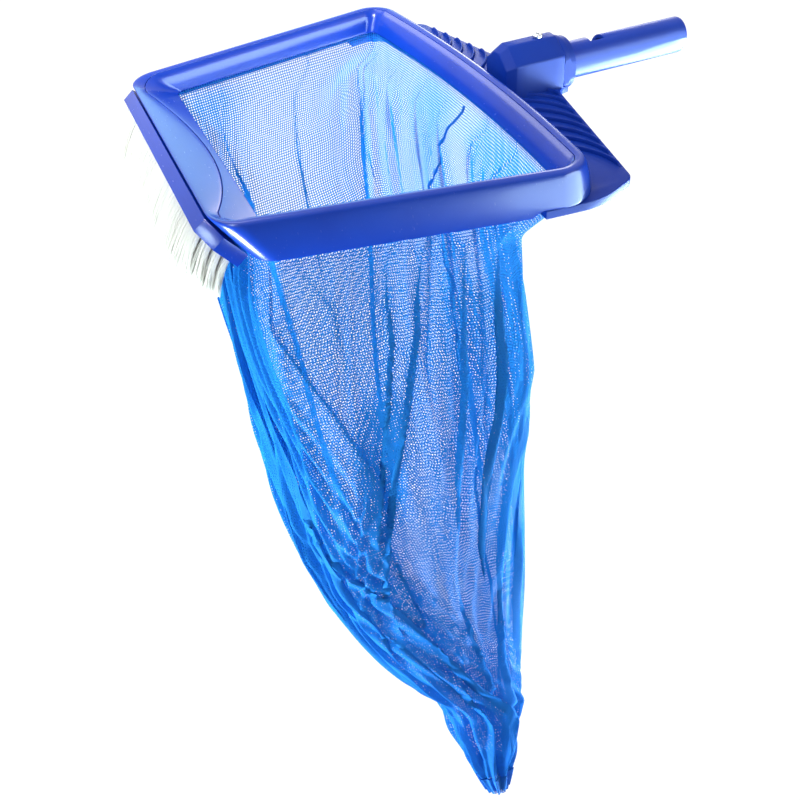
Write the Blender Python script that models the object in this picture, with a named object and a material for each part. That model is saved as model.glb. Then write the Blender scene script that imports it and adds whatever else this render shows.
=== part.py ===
"""Leaf skimmer net for a swimming pool: a trapezoid scoop rim on a ribbed yoke, with a short
handle socket, a deep mesh bag and a brush that slides onto the front lip.

Row frame: origin on the handle tube's axis at the hub's rear shoulder, +Y along the tube
towards the pole, +Z up. The head is rolled about the tube, near side (+X) down, and the bag
hangs straight down from it. Y is drawn from a datum just outside the shoulder, and one empty
moves the whole net so that the shoulder is the origin. Everything on the head is drawn level,
under a second, tilted empty.
"""

import math

import bmesh
import bpy
from mathutils import Matrix, Vector

MM = 0.001
GAP = 0.35 * MM  # clearance between pieces that touch

SHOULDER_Y = -4 * MM  # the hub's shoulder, from the drawing's datum

# The head: its roll about the tube, and the outline of the rim's top edge
HEAD_ROLL = math.radians(35)
RIM_TOP = 11.6 * MM
Y_BACK = -86.2 * MM
Y_FRONT = -329.2 * MM
HALF_BACK = 182.2 * MM
HALF_FRONT = 132.2 * MM
SIDE_SLOPE = (HALF_BACK - HALF_FRONT) / (Y_BACK - Y_FRONT)
BACK_BOW = 11.6 * MM
BACK_RADIUS = 21 * MM
FRONT_RADIUS = 27 * MM
LIP_SLOPE = 0.51  # the scoop lip falls this much for each unit inwards
LIFT_START = -133 * MM  # the side wall's bottom rises from here, to pass over the yoke
LIFT_LONG = 7 * MM
CREASE_HALF = 105 * MM  # the joint across the scoop lip is an arc this wide each way

# Handle tube and hub
TUBE_R = 14.25 * MM
TUBE_BORE_R = 11.2 * MM
TUBE_OUT = 105.5 * MM
TUBE_IN = 58 * MM
NOTCH_Y = 23.7 * MM
NOTCH_LONG = 13 * MM
NOTCH_DEEP = 5.8 * MM
RAMP_START = 36 * MM
RAMP_DEEP = 2.2 * MM  # how deep the flat is at the tube's end
RAMP_TURN = math.radians(-32)  # it faces down and towards the head's lowered side
HUB_SCREW_Y = -29 * MM
HUB_SCREW_R = 2.0 * MM
HUB_SCREW_HEAD_R = 3.9 * MM
HUB_TOP = 24.6 * MM
NUT_SEAT = -16.5 * MM  # the nut's pocket in the belly starts here
# Right half of the hub's eight-sided section, in mm; it is largest between two tapered ends
HUB_CORNERS = ((5, HUB_TOP / MM), (20, 13.2), (20, -13), (13, -20.5))
HUB_STATIONS = ((-65, 0.86), (-61, 1), (-15, 1), (-12, 0.9))  # (y in mm, size)
COLLAR_STATIONS = ((-15, 18), (-14, 21.5), (-9.5, 21.5), (-8.7, 20.2), (-5, 20.2), (-4, 19.2))
COLLAR_FLAT = 19.0  # the collar's sides are cut flat at this half width, in mm
COLLAR_SIDES = 32
TUBE_SIDES = 40

# Yoke plate
PLATE_TOP = RIM_TOP - 23.1 * MM
PLATE_THICK = 3.0 * MM
SKIRT_DEEP = 6.0 * MM
RIB_HIGH = 2.6 * MM
RIB_COUNT = 8
RIB_PITCH = 16.8 * MM
RIB_FIRST = 35 * MM
WING_REAR_Y = -24.5 * MM  # the wing's rear edge where the first rib ends
WING_SWEEP = 0.205  # how fast that edge runs forward on its way out
# The hollow under a wing, a few millimetres inside the skirt, in mm
POCKET_CORNERS = (
    (26, -33), (158, -58), (168, -74), (173, -92), (172, -112), (150, -84), (110, -76), (26, -68),
)

# Brush: its block lies along the wall under the lip
BRUSH_ANGLE = math.radians(52)  # the block's width runs back and down at this angle
BLOCK_HALF = 124 * MM
BLOCK_CHAMFER = 12 * MM
BLOCK_WIDE = 33 * MM
BLOCK_THICK = 10.5 * MM
BLOCK_OFF = 2.2 * MM
BLOCK_START = 2.6 * MM
BLOCK_MID = BLOCK_START + BLOCK_WIDE / 2
RAIL_HALF = 100 * MM
SLOT_NECK = 4.4 * MM  # half widths of the block's T slot
SLOT_WIDE = 7.9 * MM
SLOT_PLAY = 0.5 * MM  # the rail is this much narrower each side
BRISTLE_ROWS = 4
BRISTLE_LONG = 34 * MM
BRISTLE_SWEEP = 13.8 * MM

# Bag
TOE_Z = -552 * MM
BAG_WALL = 1.2 * MM
TAPE_OFF = 0.5 * MM  # the seam tape and toe binding lie this far outside the cloth
TAPE_TOP = 1.3 * MM
SEAM_STATION = 68  # the point of the neck's loop where the back seam starts
# (inset, depth) of the bag's edge inside the rim, and of the neck just below the rim, in mm
BAG_EDGE = ((12.6, 19.2), (17.4, 19.2), (34.4, 22.4))
BAG_NECK = ((12.6, 25.5), (17.4, 25.5), (34.4, 28.8))
# How the bag hangs: (share of the way down to the toe, mm)
BAG_FRONT = (
    (0, -293), (0.12, -312), (0.3, -322), (0.55, -322), (0.72, -300), (0.86, -266), (1, -238),
)
BAG_REAR = ((0, -104), (0.15, -108), (0.4, -130), (0.6, -152), (0.8, -182), (1, -222))
BAG_HALF_X = ((0, 134), (0.2, 122), (0.5, 92), (0.8, 50), (1, 9))
BAG_MID_X = ((0, -7), (0.5, -4), (1, 0))
BAG_STEPS = (0, 0.05, 0.12, 0.2, 0.3, 0.4, 0.5, 0.6, 0.7, 0.79, 0.88, 0.95, 1.0)
TOE_BAND = (0.955, 0.99)  # the binding's start and end

# Fasteners
SCREW_R = 1.2 * MM
SCREW_HEAD_R = 2.6 * MM
SCREW_HEAD_HIGH = 1.5 * MM
SCREW_HOLE_R = SCREW_R + GAP
SCREW_SIDES = 10
RAIL_SCREW_HEAD_R = 2.1 * MM
BOSS_R = 2.3 * MM
BOSS_INSET = 4.6 * MM
RAIL_SCREW_X = (-70 * MM, 0, 70 * MM)
SIDE_SCREW_Y = (-270 * MM, -205 * MM, -148 * MM)
YOKE_SCREW_X = (-112 * MM, -34 * MM, 34 * MM, 112 * MM)

BLUE = (0.035, 0.10, 0.62)
DARK_BLUE = (0.03, 0.07, 0.45)
MESH_BLUE = (0.05, 0.30, 0.80)
WHITE = (0.88, 0.88, 0.84)
STEEL = (0.62, 0.62, 0.62)


def clear_scene():
    for old in list(bpy.data.objects):
        bpy.data.objects.remove(old, do_unlink=True)


def material(name, colour, rough, metallic=0.0):
    mat = bpy.data.materials.new(name)
    mat.use_nodes = True
    shader = mat.node_tree.nodes["Principled BSDF"]
    shader.inputs["Base Color"].default_value = (*colour, 1)
    shader.inputs["Roughness"].default_value = rough
    shader.inputs["Metallic"].default_value = metallic
    return mat


def add_object(name, mesh, mat, parent):
    """A new object in the scene; with no mesh it is an empty that carries others."""
    obj = bpy.data.objects.new(name, mesh)
    bpy.context.collection.objects.link(obj)
    if mesh:
        mesh.materials.append(mat)
    obj.parent = parent
    return obj


def mesh_from(name, points, faces):
    """A mesh of the given points and faces, with its faces turned outwards."""
    mesh = bpy.data.meshes.new(name)
    mesh.from_pydata([tuple(p) for p in points], [], faces)
    bm = bmesh.new()
    bm.from_mesh(mesh)
    bmesh.ops.recalc_face_normals(bm, faces=bm.faces)
    bm.to_mesh(mesh)
    bm.free()
    return mesh


def stack_faces(count, around, wrap, caps):
    """Quads between stacked loops of points, closed by a last-to-first wrap or by end caps."""
    faces = []
    for k in range(count if wrap else count - 1):
        a, b = k * around, ((k + 1) % count) * around
        for j in range(around):
            n = (j + 1) % around
            faces.append((a + j, a + n, b + n, b + j))
    if caps:
        faces.append(tuple(range(around)))
        faces.append(tuple(range((count - 1) * around, count * around)))
    return faces


def loft(name, loops, mat, parent, wrap=False):
    """A closed solid through loops with the same number of points."""
    points = [p for ring in loops for p in ring]
    faces = stack_faces(len(loops), len(loops[0]), wrap, not wrap)
    return add_object(name, mesh_from(name, points, faces), mat, parent)


def cylinder_loops(radius, ends, sides, centre=(0, 0), axis="Y", turn=0.0):
    """Rings of points round an axis through centre, one ring at each (place, radius factor)."""
    loops = []
    for place, factor in ends:
        ring = []
        for k in range(sides):
            a = turn + 2 * math.pi * k / sides
            u = centre[0] + radius * factor * math.cos(a)
            v = centre[1] + radius * factor * math.sin(a)
            ring.append(Vector((u, place, v)) if axis == "Y" else Vector((u, v, place)))
        loops.append(ring)
    return loops


def boolean(obj, other, operation):
    """Applies one EXACT Boolean and hides the piece that it used."""
    mod = obj.modifiers.new(other.name, "BOOLEAN")
    mod.object = other
    mod.operation = operation
    mod.solver = "EXACT"
    other.hide_render = True
    other.display_type = "WIRE"


# ---------------------------------------------------------------- the rim's outline


def smooth(t):
    t = max(0.0, min(1.0, t))
    return t * t * (3 - 2 * t)


def side_x(y, inset):
    return HALF_BACK - (Y_BACK - y) * SIDE_SLOPE - inset * math.hypot(1, SIDE_SLOPE)


def fillet(a, b, c, radius, steps):
    """Points of the arc that rounds the corner at b between a and c."""
    u, v = (a - b).normalized(), (c - b).normalized()
    half = u.angle(v) / 2
    centre = b + (u + v).normalized() * radius / math.sin(half)
    first = b + u * radius / math.tan(half) - centre
    last = b + v * radius / math.tan(half) - centre
    sweep = math.atan2(first.x * last.y - first.y * last.x, first.dot(last))
    turn = [Matrix.Rotation(sweep * k / steps, 2) for k in range(steps + 1)]
    return [centre + t @ first for t in turn]


def half_outline(side, back, front):
    """One half of the rim's outline at these insets, from mid back to mid front.

    Each item is a point and how far it belongs to the (back, side, front).
    """
    a = Vector((0, Y_BACK - back))
    b = Vector((side_x(Y_BACK - back, side), Y_BACK - back))
    c = Vector((side_x(Y_FRONT + front, side), Y_FRONT + front))
    d = Vector((0, Y_FRONT + front))
    back_arc = fillet(a, b, c, max(BACK_RADIUS - (side + back) / 2, 6 * MM), 8)
    front_arc = fillet(b, c, d, max(FRONT_RADIUS - (side + front) / 2, 6 * MM), 8)
    out = [(a.lerp(back_arc[0], k / 6), (1, 0, 0)) for k in range(6)]
    for k, p in enumerate(back_arc):
        t = k / 8
        out.append((p, (1 - t, t, 0)))
    out += [(back_arc[-1].lerp(front_arc[0], t), (0, 1, 0)) for t in (0.066, 0.11, 0.4, 0.7)]
    for k, p in enumerate(front_arc):
        t = k / 8
        out.append((p, (0, 1 - t, t)))
    out += [(front_arc[-1].lerp(d, k / 8), (0, 0, 1)) for k in range(1, 9)]
    return out


def bow(x):
    return BACK_BOW * max(0.0, 1 - (x / HALF_BACK) ** 2)


def crease(x):
    """How far along the scoop joint's arc: 1 in the middle, 0 at its ends."""
    return max(0.0, 1 - (x / CREASE_HALF) ** 2)


def ring_layer(side, back, front, arc=0.0, lift=False):
    """A loop round the rim; side, back and front are (inset, depth below the rim's top).

    With lift, the depth already changes to the back's ahead of the corner, over the yoke.
    """
    right = []
    for p, (wb, ws, wf) in half_outline(side[0], back[0], front[0]):
        arc_in = arc * wf * crease(p.x)
        y = p.y + wb * bow(p.x) + arc_in
        t = smooth((p.y - LIFT_START) / LIFT_LONG) if lift else wb
        drop = (1 - wf) * (side[1] + (back[1] - side[1]) * t) + wf * front[1]
        right.append(Vector((p.x, y, RIM_TOP - drop - arc_in * LIP_SLOPE)))
    left = [Vector((-p.x, p.y, p.z)) for p in reversed(right[1:-1])]
    return right + left


def mm_layer(side, back, front, arc=0.0, lift=False):
    return ring_layer(*[(i * MM, z * MM) for i, z in (side, back, front)], arc * MM, lift)


# ---------------------------------------------------------------- pieces of the rim


def rim_boss_places():
    """(x, y) of each screw boss: three along each side rail, four along the back rail."""
    places = []
    for y in SIDE_SCREW_Y:
        x = side_x(y, BOSS_INSET)
        places += [(x, y), (-x, y)]
    for x in YOKE_SCREW_X:
        places.append((x, Y_BACK - BOSS_INSET + bow(x)))
    return places


def outer_frame(mat, head):
    """Outer half of the rim: the rounded wall, and in front the scoop lip and its wall."""
    walls = [
        mm_layer((-4.2, 27.3), (-4.2, 22.7), (21.0, 27.3), lift=True),
        mm_layer((-0.9, 7.0), (-0.9, 7.0), (4.0, 5.2)),
        mm_layer((1.6, 1.4), (1.6, 1.4), (0.6, 0.8)),
        mm_layer((5.0, 0.0), (5.0, 0.0), (1.6, 0.4)),
        mm_layer((8.6, 0.8), (8.6, 0.8), (9.7, 5.2), 21),
        mm_layer((8.6, 3.8), (8.6, 3.8), (9.7, 8.2), 21),
        mm_layer((5.0, 3.2), (5.0, 3.2), (9.1, 7.9), 0.2),
        mm_layer((2.4, 7.0), (2.4, 7.0), (11.2, 10.4)),
        mm_layer((-1.2, 27.3), (-1.2, 22.7), (24.2, 27.3), lift=True),
    ]
    frame = loft("outer_frame", walls, mat, head, wrap=True)
    for k, place in enumerate(rim_boss_places()):
        ends = [(RIM_TOP - 18.9 * MM, 1), (RIM_TOP - 1.9 * MM, 1)]
        boss = cylinder_loops(BOSS_R, ends, SCREW_SIDES, place, "Z")
        boolean(frame, loft(f"boss_{k}", boss, mat, head), "UNION")
    for k, place in enumerate(rim_boss_places()):
        ends = [(RIM_TOP - 20 * MM, 1), (RIM_TOP - 8 * MM, 1)]
        pilot = cylinder_loops(SCREW_HOLE_R, ends, SCREW_SIDES, place, "Z")
        boolean(frame, loft(f"pilot_{k}", pilot, mat, head), "DIFFERENCE")
    through = [(-4.2 * MM, SCREW_HOLE_R), (3 * MM, SCREW_HOLE_R)]
    for k, x in enumerate(RAIL_SCREW_X):
        boolean(frame, loft(f"wall_hole_{k}", out_loops(x, through), mat, head), "DIFFERENCE")
    return frame


def inner_ring(mat, head):
    """Inner half of the rim: it clamps the bag's hem, and carries the lip's inner edge."""
    walls = [
        mm_layer((9.0, 0.9), (9.0, 0.9), (10.1, 5.4), 21),
        mm_layer((12.0, 4.5), (12.6, 4.0), (18.8, 9.8), 14),
        mm_layer((14.0, 10.5), (16.6, 10.0), (27.6, 14.3), 7),
        mm_layer((15.2, 18.5), (20.0, 18.5), (36.3, 18.7)),
        mm_layer((12.5, 18.5), (17.3, 18.5), (34.6, 21.4)),
        mm_layer((11.3, 10.5), (13.6, 11.0), (26.6, 17.2), 7),
        mm_layer((10.2, 6.6), (10.4, 6.6), (18.3, 13.0), 14),
        mm_layer((9.0, 3.9), (9.0, 3.9), (10.1, 8.8), 21),
    ]
    return loft("inner_ring", walls, mat, head, wrap=True)


def base_ring(mat, head):
    """Flat ring that closes the rim's channel from below; the screws go up through it."""
    walls = [
        mm_layer((0.9, 19.3), (0.9, 19.3), (24.6, 23.3)),
        mm_layer((11.9, 19.3), (16.7, 19.3), (33.0, 23.3)),
        mm_layer((11.9, 22.5), (16.7, 22.5), (33.0, 26.5)),
        mm_layer((0.9, 22.5), (0.9, 22.5), (24.6, 26.5)),
    ]
    ring = loft("base_ring", walls, mat, head, wrap=True)
    for k, place in enumerate(rim_boss_places()):
        ends = [(RIM_TOP - 30 * MM, 1), (RIM_TOP - 15 * MM, 1)]
        hole = cylinder_loops(SCREW_HOLE_R, ends, SCREW_SIDES, place, "Z")
        boolean(ring, loft(f"ring_hole_{k}", hole, mat, head), "DIFFERENCE")
    return ring


def bag_hem(mat, head):
    """The bag's turned-over edge, an upside-down channel inside the rim."""
    walls = [
        mm_layer((7.2, 17.6), (8.4, 17.6), (24.2, 22.8)),
        mm_layer((7.2, 13.0), (8.4, 13.0), (24.2, 18.8)),
        mm_layer((10.7, 13.0), (12.6, 13.0), (28.2, 18.8)),
        mm_layer((10.7, 17.6), (12.6, 17.6), (28.2, 22.8)),
        mm_layer((10.1, 17.6), (12.0, 17.6), (27.6, 22.8)),
        mm_layer((10.1, 13.6), (12.0, 13.6), (27.6, 19.4)),
        mm_layer((7.8, 13.6), (9.0, 13.6), (24.8, 19.4)),
        mm_layer((7.8, 17.6), (9.0, 17.6), (24.8, 22.8)),
    ]
    return loft("bag_hem", walls, mat, head, wrap=True)


def hem_cord(mat, head):
    """The cord in the hem, which keeps it from pulling out of the rim."""
    radius = 0.85
    walls = []
    for k in range(6):
        u, v = radius * math.cos(k * math.pi / 3), radius * math.sin(k * math.pi / 3)
        walls.append(mm_layer((8.95 + u, 15.4 + v), (10.5 + u, 15.4 + v), (26.2 + u, 20.9 + v)))
    return loft("hem_cord", walls, mat, head, wrap=True)


def rim_screws(mat, head):
    """Pan-head screws, up through the base ring; the four in the back hold the yoke too."""
    in_sides = 2 * len(SIDE_SCREW_Y)
    head_f = SCREW_HEAD_R / SCREW_R
    slot_size = (4 * MM, 0.8 * MM, 1.2 * MM)
    for k, place in enumerate(rim_boss_places()):
        yoke = k >= in_sides
        seat = PLATE_TOP - SKIRT_DEEP if yoke else RIM_TOP - 22.5 * MM
        low = seat - GAP - SCREW_HEAD_HIGH
        ends = [
            (low, head_f * 0.8),
            (low + 0.6 * MM, head_f),
            (low + SCREW_HEAD_HIGH, head_f),
            (low + SCREW_HEAD_HIGH, 1),
            (RIM_TOP - 10 * MM, 1),
            (RIM_TOP - 9 * MM, 0.5),
        ]
        name = f"yoke_screw_{k - in_sides + 1}" if yoke else f"rim_screw_{k + 1}"
        screw = loft(name, cylinder_loops(SCREW_R, ends, SCREW_SIDES, place, "Z"), mat, head)
        slot = box_object(f"{name}_slot", mat, head, (*place, low), slot_size)
        boolean(screw, slot, "DIFFERENCE")


def box_object(name, mat, parent, centre, size):
    """A box of this size round centre."""
    x, y, z = (s / 2 for s in size)
    c = Vector(centre)
    corners = ((-x, -y), (x, -y), (x, y), (-x, y))
    loops = [[c + Vector((u, v, w)) for u, v in corners] for w in (-z, z)]
    return loft(name, loops, mat, parent)


# ---------------------------------------------------------------- yoke and handle


def plate_half():
    """Right half of the yoke plate's outline, rear edge first, ending under the back rail."""
    hub_side = Vector((18.0 * MM, -9.5 * MM))
    hub_corner = Vector((19.5 * MM, -20.5 * MM))
    tip_rear = Vector((167.5 * MM, -51 * MM))
    tip_side = Vector((183 * MM, -84 * MM))
    side_end = Vector((179 * MM, -124 * MM))
    rear = fillet(hub_side, hub_corner, tip_rear, 14 * MM, 6)
    tip = fillet(hub_corner, tip_rear, tip_side, 11 * MM, 4)
    side = fillet(tip_rear, tip_side, side_end, 52 * MM, 5)
    points = [hub_side] + rear + tip + side + [side_end]
    inner = mm_layer((10, 0), (10, 0), (10, 0))
    under = [p.xy for p in inner[: len(inner) // 2] if p.y > side_end.y and p.x > 1 * MM]
    return points + [p for p in reversed(under)]


def extrude_outline(name, outline, low, high, mat, parent):
    loops = [[Vector((p.x, p.y, z)) for p in outline] for z in (low, high)]
    return loft(name, loops, mat, parent)


def mirrored(half):
    return half + [Vector((-p.x, p.y)) for p in reversed(half)]


def rib(name, k, side, mat, head):
    """One raised rib, fanning outwards from the back rail to the wing's rear edge."""
    x1 = RIB_FIRST + k * RIB_PITCH
    end = Vector((x1, WING_REAR_Y - (x1 - RIB_FIRST) * WING_SWEEP - 2 * MM))
    x0 = max(x1 - 52 * MM, 8 * MM)
    start = Vector((x0, Y_BACK + bow(x0) + 5.5 * MM))
    bend = Vector((x1 - 30 * MM, end.y + 2 * MM))
    steps = 7
    line = []
    for i in range(steps + 1):
        t = i / steps
        line.append(start * (1 - t) ** 2 + bend * 2 * t * (1 - t) + end * t ** 2)
    loops = []
    for i, p in enumerate(line):
        along = (line[min(i + 1, steps)] - line[max(i - 1, 0)]).normalized()
        across = Vector((-along.y, along.x)) * 1.2 * MM
        low, high = PLATE_TOP - 1 * MM, PLATE_TOP + RIB_HIGH
        corners = ((-1, low), (1, low), (0.5, high), (-0.5, high))
        section = [(p + across * share, z) for share, z in corners]
        loops.append([Vector((side * q.x, q.y, z)) for q, z in section])
    return loft(name, loops, mat, head)


def hub_section(y, scale):
    """Eight-sided section of the hub at y; below the plate it is the belly round the bore."""
    corners = HUB_CORNERS + tuple((-x, z) for x, z in reversed(HUB_CORNERS))
    return [Vector((x * scale * MM, y * MM, z * scale * MM)) for x, z in corners]


def collar_loops():
    """The stepped collar behind the hub: a round ring with flats on its sides."""
    loops = []
    for y, radius in COLLAR_STATIONS:
        ring = []
        for k in range(COLLAR_SIDES):
            a = 2 * math.pi * k / COLLAR_SIDES
            x = max(-COLLAR_FLAT, min(COLLAR_FLAT, radius * math.cos(a)))
            ring.append(Vector((x * MM, y * MM, radius * math.sin(a) * MM)))
        loops.append(ring)
    return loops


def yoke(mat, head):
    """Hub and ribbed wings, one moulding. The wings' edges turn down as a skirt."""
    outline = mirrored(plate_half())
    plate = extrude_outline("yoke", outline, PLATE_TOP - SKIRT_DEEP, PLATE_TOP, mat, head)
    for k, x in enumerate(YOKE_SCREW_X):
        place = (x, Y_BACK - BOSS_INSET + bow(x))
        ends = [(PLATE_TOP - 20 * MM, 1), (PLATE_TOP + 5 * MM, 1)]
        hole = cylinder_loops(SCREW_HOLE_R, ends, SCREW_SIDES, place, "Z")
        boolean(plate, loft(f"yoke_hole_{k}", hole, mat, head), "DIFFERENCE")
    low, high = PLATE_TOP - SKIRT_DEEP - 4 * MM, PLATE_TOP - PLATE_THICK
    for side, name in ((1, "pocket_near"), (-1, "pocket_far")):
        corners = [Vector((side * x * MM, y * MM)) for x, y in POCKET_CORNERS]
        pocket = extrude_outline(name, corners, low, high, mat, head)
        boolean(plate, pocket, "DIFFERENCE")
    hub_loops = [hub_section(y, scale) for y, scale in HUB_STATIONS]
    boolean(plate, loft("hub_body", hub_loops, mat, head), "UNION")
    boolean(plate, loft("collar", collar_loops(), mat, head), "UNION")
    for side, word in ((1, "near"), (-1, "far")):
        for k in range(RIB_COUNT):
            ridge = rib(f"rib_{word}_{k}", k, side, mat, head)
            boolean(plate, ridge, "UNION")
    bore_ends = [(-TUBE_IN - GAP, 1), (20 * MM, 1)]
    bore = loft("hub_bore", cylinder_loops(TUBE_R + GAP, bore_ends, TUBE_SIDES), mat, head)
    boolean(plate, bore, "DIFFERENCE")
    boolean(plate, loft("hub_screw_hole", hub_screw_shaft(), mat, head), "DIFFERENCE")
    nut_ends = [(-40 * MM, 1), (NUT_SEAT, 1)]
    nut = cylinder_loops(4.4 * MM, nut_ends, 6, (0, HUB_SCREW_Y), "Z")
    boolean(plate, loft("nut_pocket", nut, mat, head), "DIFFERENCE")
    return plate


def hub_screw_shaft():
    """The hole for the hub screw, up through belly, tube and hub."""
    ends = [(-60 * MM, 1), (60 * MM, 1)]
    return cylinder_loops(HUB_SCREW_R + GAP, ends, 12, (0, HUB_SCREW_Y), "Z")


def handle_tube(mat, whole):
    """The socket tube for the pole, with a latch notch on top and a sloping flat below."""
    past = 1 * MM
    outer = [(-TUBE_IN, 0.97), (-TUBE_IN + past, 1), (TUBE_OUT - past, 0.985), (TUBE_OUT, 0.955)]
    tube = loft("handle_tube", cylinder_loops(TUBE_R, outer, TUBE_SIDES), mat, whole)
    bore = cylinder_loops(TUBE_BORE_R, [(-TUBE_IN - past, 1), (TUBE_OUT + past, 1)], 32)
    boolean(tube, loft("tube_bore", bore, mat, whole), "DIFFERENCE")
    notch_high = 10 * MM
    notch_middle = (0, NOTCH_Y, TUBE_R - NOTCH_DEEP + notch_high / 2)
    notch = box_object("latch_notch", mat, whole, notch_middle, (30 * MM, NOTCH_LONG, notch_high))
    boolean(tube, notch, "DIFFERENCE")
    floor, under = RAMP_DEEP - TUBE_R, -TUBE_R - 4 * MM
    side = [
        (RAMP_START, -TUBE_R), (TUBE_OUT, floor), (TUBE_OUT + 2 * MM, floor),
        (TUBE_OUT + 2 * MM, under), (RAMP_START, under),
    ]
    turn = Matrix.Rotation(RAMP_TURN, 4, "Y")
    ramp = [[turn @ Vector((x, y, z)) for y, z in side] for x in (-20 * MM, 20 * MM)]
    boolean(tube, loft("ramp_cut", ramp, mat, whole), "DIFFERENCE")
    shaft = [rolled(ring) for ring in hub_screw_shaft()]
    boolean(tube, loft("tube_screw_hole", shaft, mat, whole), "DIFFERENCE")
    return tube


def hub_fasteners(mat, head):
    """The screw through hub and tube, and the nut held in the hub's belly."""
    place = (0, HUB_SCREW_Y)
    base, top, far = HUB_TOP + GAP, HUB_TOP + GAP + 2.3 * MM, -19.5 * MM
    head_f = HUB_SCREW_HEAD_R / HUB_SCREW_R
    ends = [
        (far, 0.8),
        (far + 1 * MM, 1),
        (base, 1),
        (base, head_f),
        (base + 1.4 * MM, head_f),
        (top, head_f * 0.7),
    ]
    screw = loft("hub_screw", cylinder_loops(HUB_SCREW_R, ends, 16, place, "Z"), mat, head)
    long, wide, deep = 4.4 * MM, 1.0 * MM, 2.4 * MM
    for name, size in (("cross_a", (long, wide, deep)), ("cross_b", (wide, long, deep))):
        boolean(screw, box_object(name, mat, head, (*place, top), size), "DIFFERENCE")
    nut_ends = [(-20 * MM, 1), (NUT_SEAT - 0.4 * MM, 1)]
    nut = loft("hub_nut", cylinder_loops(4.0 * MM, nut_ends, 6, place, "Z"), mat, head)
    hole_ends = [(-25 * MM, 1), (-10 * MM, 1)]
    hole = cylinder_loops(HUB_SCREW_R + 0.05 * MM, hole_ends, 16, place, "Z")
    boolean(nut, loft("nut_hole", hole, mat, head), "DIFFERENCE")


# ---------------------------------------------------------------- brush


def brush_point(x, along, out):
    """A point on the head from the brush's own axes: along its width, and out of the wall."""
    c, s = math.cos(BRUSH_ANGLE), math.sin(BRUSH_ANGLE)
    y = Y_FRONT + along * c - out * s
    z = RIM_TOP - along * s - out * c
    return Vector((x, y, z))


def brush_outline(half, chamfer, start, end):
    """Corners of the block seen square on: its front corners are cut at 45 degrees."""
    return [
        (-half + chamfer, start), (half - chamfer, start), (half, start + chamfer),
        (half, end), (-half, end), (-half, start + chamfer),
    ]


def brush_block(mat, head):
    outline = brush_outline(BLOCK_HALF, BLOCK_CHAMFER, BLOCK_START, BLOCK_START + BLOCK_WIDE)
    loops = []
    for out in (BLOCK_OFF, BLOCK_OFF + BLOCK_THICK):
        loops.append([brush_point(x, a, out) for x, a in outline])
    block = loft("brush_block", loops, mat, head)
    open_end, shut_end = -BLOCK_HALF - 5 * MM, RAIL_HALF + GAP
    slots = {
        "slot_neck": (SLOT_NECK, BLOCK_OFF - 3 * MM, BLOCK_OFF + 4 * MM),
        "slot_wide": (SLOT_WIDE, BLOCK_OFF + 1.6 * MM, BLOCK_OFF + 5.4 * MM),
    }
    for name, (half, low, high) in slots.items():
        start, end = BLOCK_MID - half, BLOCK_MID + half
        corners = [(start, low), (end, low), (end, high), (start, high)]
        ends = [[brush_point(x, a, o) for a, o in corners] for x in (open_end, shut_end)]
        boolean(block, loft(name, ends, mat, head), "DIFFERENCE")
    return block


def brush_rail(mat, head):
    """T-shaped rail on the wall under the lip; the block slides onto it."""
    neck, wide = SLOT_NECK - SLOT_PLAY, SLOT_WIDE - SLOT_PLAY
    low, step, high = GAP, BLOCK_OFF + 2.0 * MM, BLOCK_OFF + 4.9 * MM
    corners = [
        (-neck, low), (neck, low), (neck, step), (wide, step),
        (wide, high), (-wide, high), (-wide, step), (-neck, step),
    ]
    ends = []
    for x in (-RAIL_HALF, RAIL_HALF):
        ends.append([brush_point(x, BLOCK_MID + a, o) for a, o in corners])
    rail = loft("brush_rail", ends, mat, head)
    sink = high - 2.2 * MM
    hole = [(-8 * MM, SCREW_HOLE_R), (sink, SCREW_HOLE_R), (high + 0.1 * MM, SCREW_HEAD_R)]
    for k, x in enumerate(RAIL_SCREW_X):
        boolean(rail, loft(f"rail_hole_{k}", out_loops(x, hole), mat, head), "DIFFERENCE")
    return rail


def out_loops(x, ends):
    """Rings round an axis that stands out of the wall under the lip, at (out, radius)."""
    loops = []
    turn = [2 * math.pi * k / SCREW_SIDES for k in range(SCREW_SIDES)]
    for out, radius in ends:
        ring = [(x + radius * math.cos(a), BLOCK_MID + radius * math.sin(a)) for a in turn]
        loops.append([brush_point(u, v, out) for u, v in ring])
    return loops


def rail_screws(mat, head):
    """Countersunk screws that hold the rail, sunk just below its face."""
    high = BLOCK_OFF + 4.7 * MM
    ends = [
        (-4.4 * MM, 0.7 * MM),
        (-3.6 * MM, SCREW_R),
        (high - 2.2 * MM, SCREW_R),
        (high, RAIL_SCREW_HEAD_R),
    ]
    for k, x in enumerate(RAIL_SCREW_X):
        loft(f"rail_screw_{k + 1}", out_loops(x, ends), mat, head)


def bristle_row(k, mat, head):
    """One row of bristles, a soft wedge that sweeps down and narrows at its ends."""
    pitch = (BLOCK_WIDE - 6 * MM) / BRISTLE_ROWS
    start = BLOCK_START + 3 * MM + k * pitch
    half = BLOCK_HALF - max(4 * MM, BLOCK_CHAMFER + 3 * MM - k * pitch)
    low = BLOCK_OFF + BLOCK_THICK + GAP
    loops = []
    for t in (0, 0.35, 0.7, 1.0):
        sweep = BRISTLE_SWEEP * t ** 1.4
        out = low + BRISTLE_LONG * t
        x = half * (1 - 0.03 * t * t)
        width = pitch - 0.5 * MM - 0.4 * MM * t
        near, far = start + sweep, start + sweep + width
        corners = ((-x, near), (x, near), (x, far), (-x, far))
        loops.append([brush_point(u, v, out) for u, v in corners])
    return loft(f"bristle_row_{k + 1}", loops, mat, head)


# ---------------------------------------------------------------- bag


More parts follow.
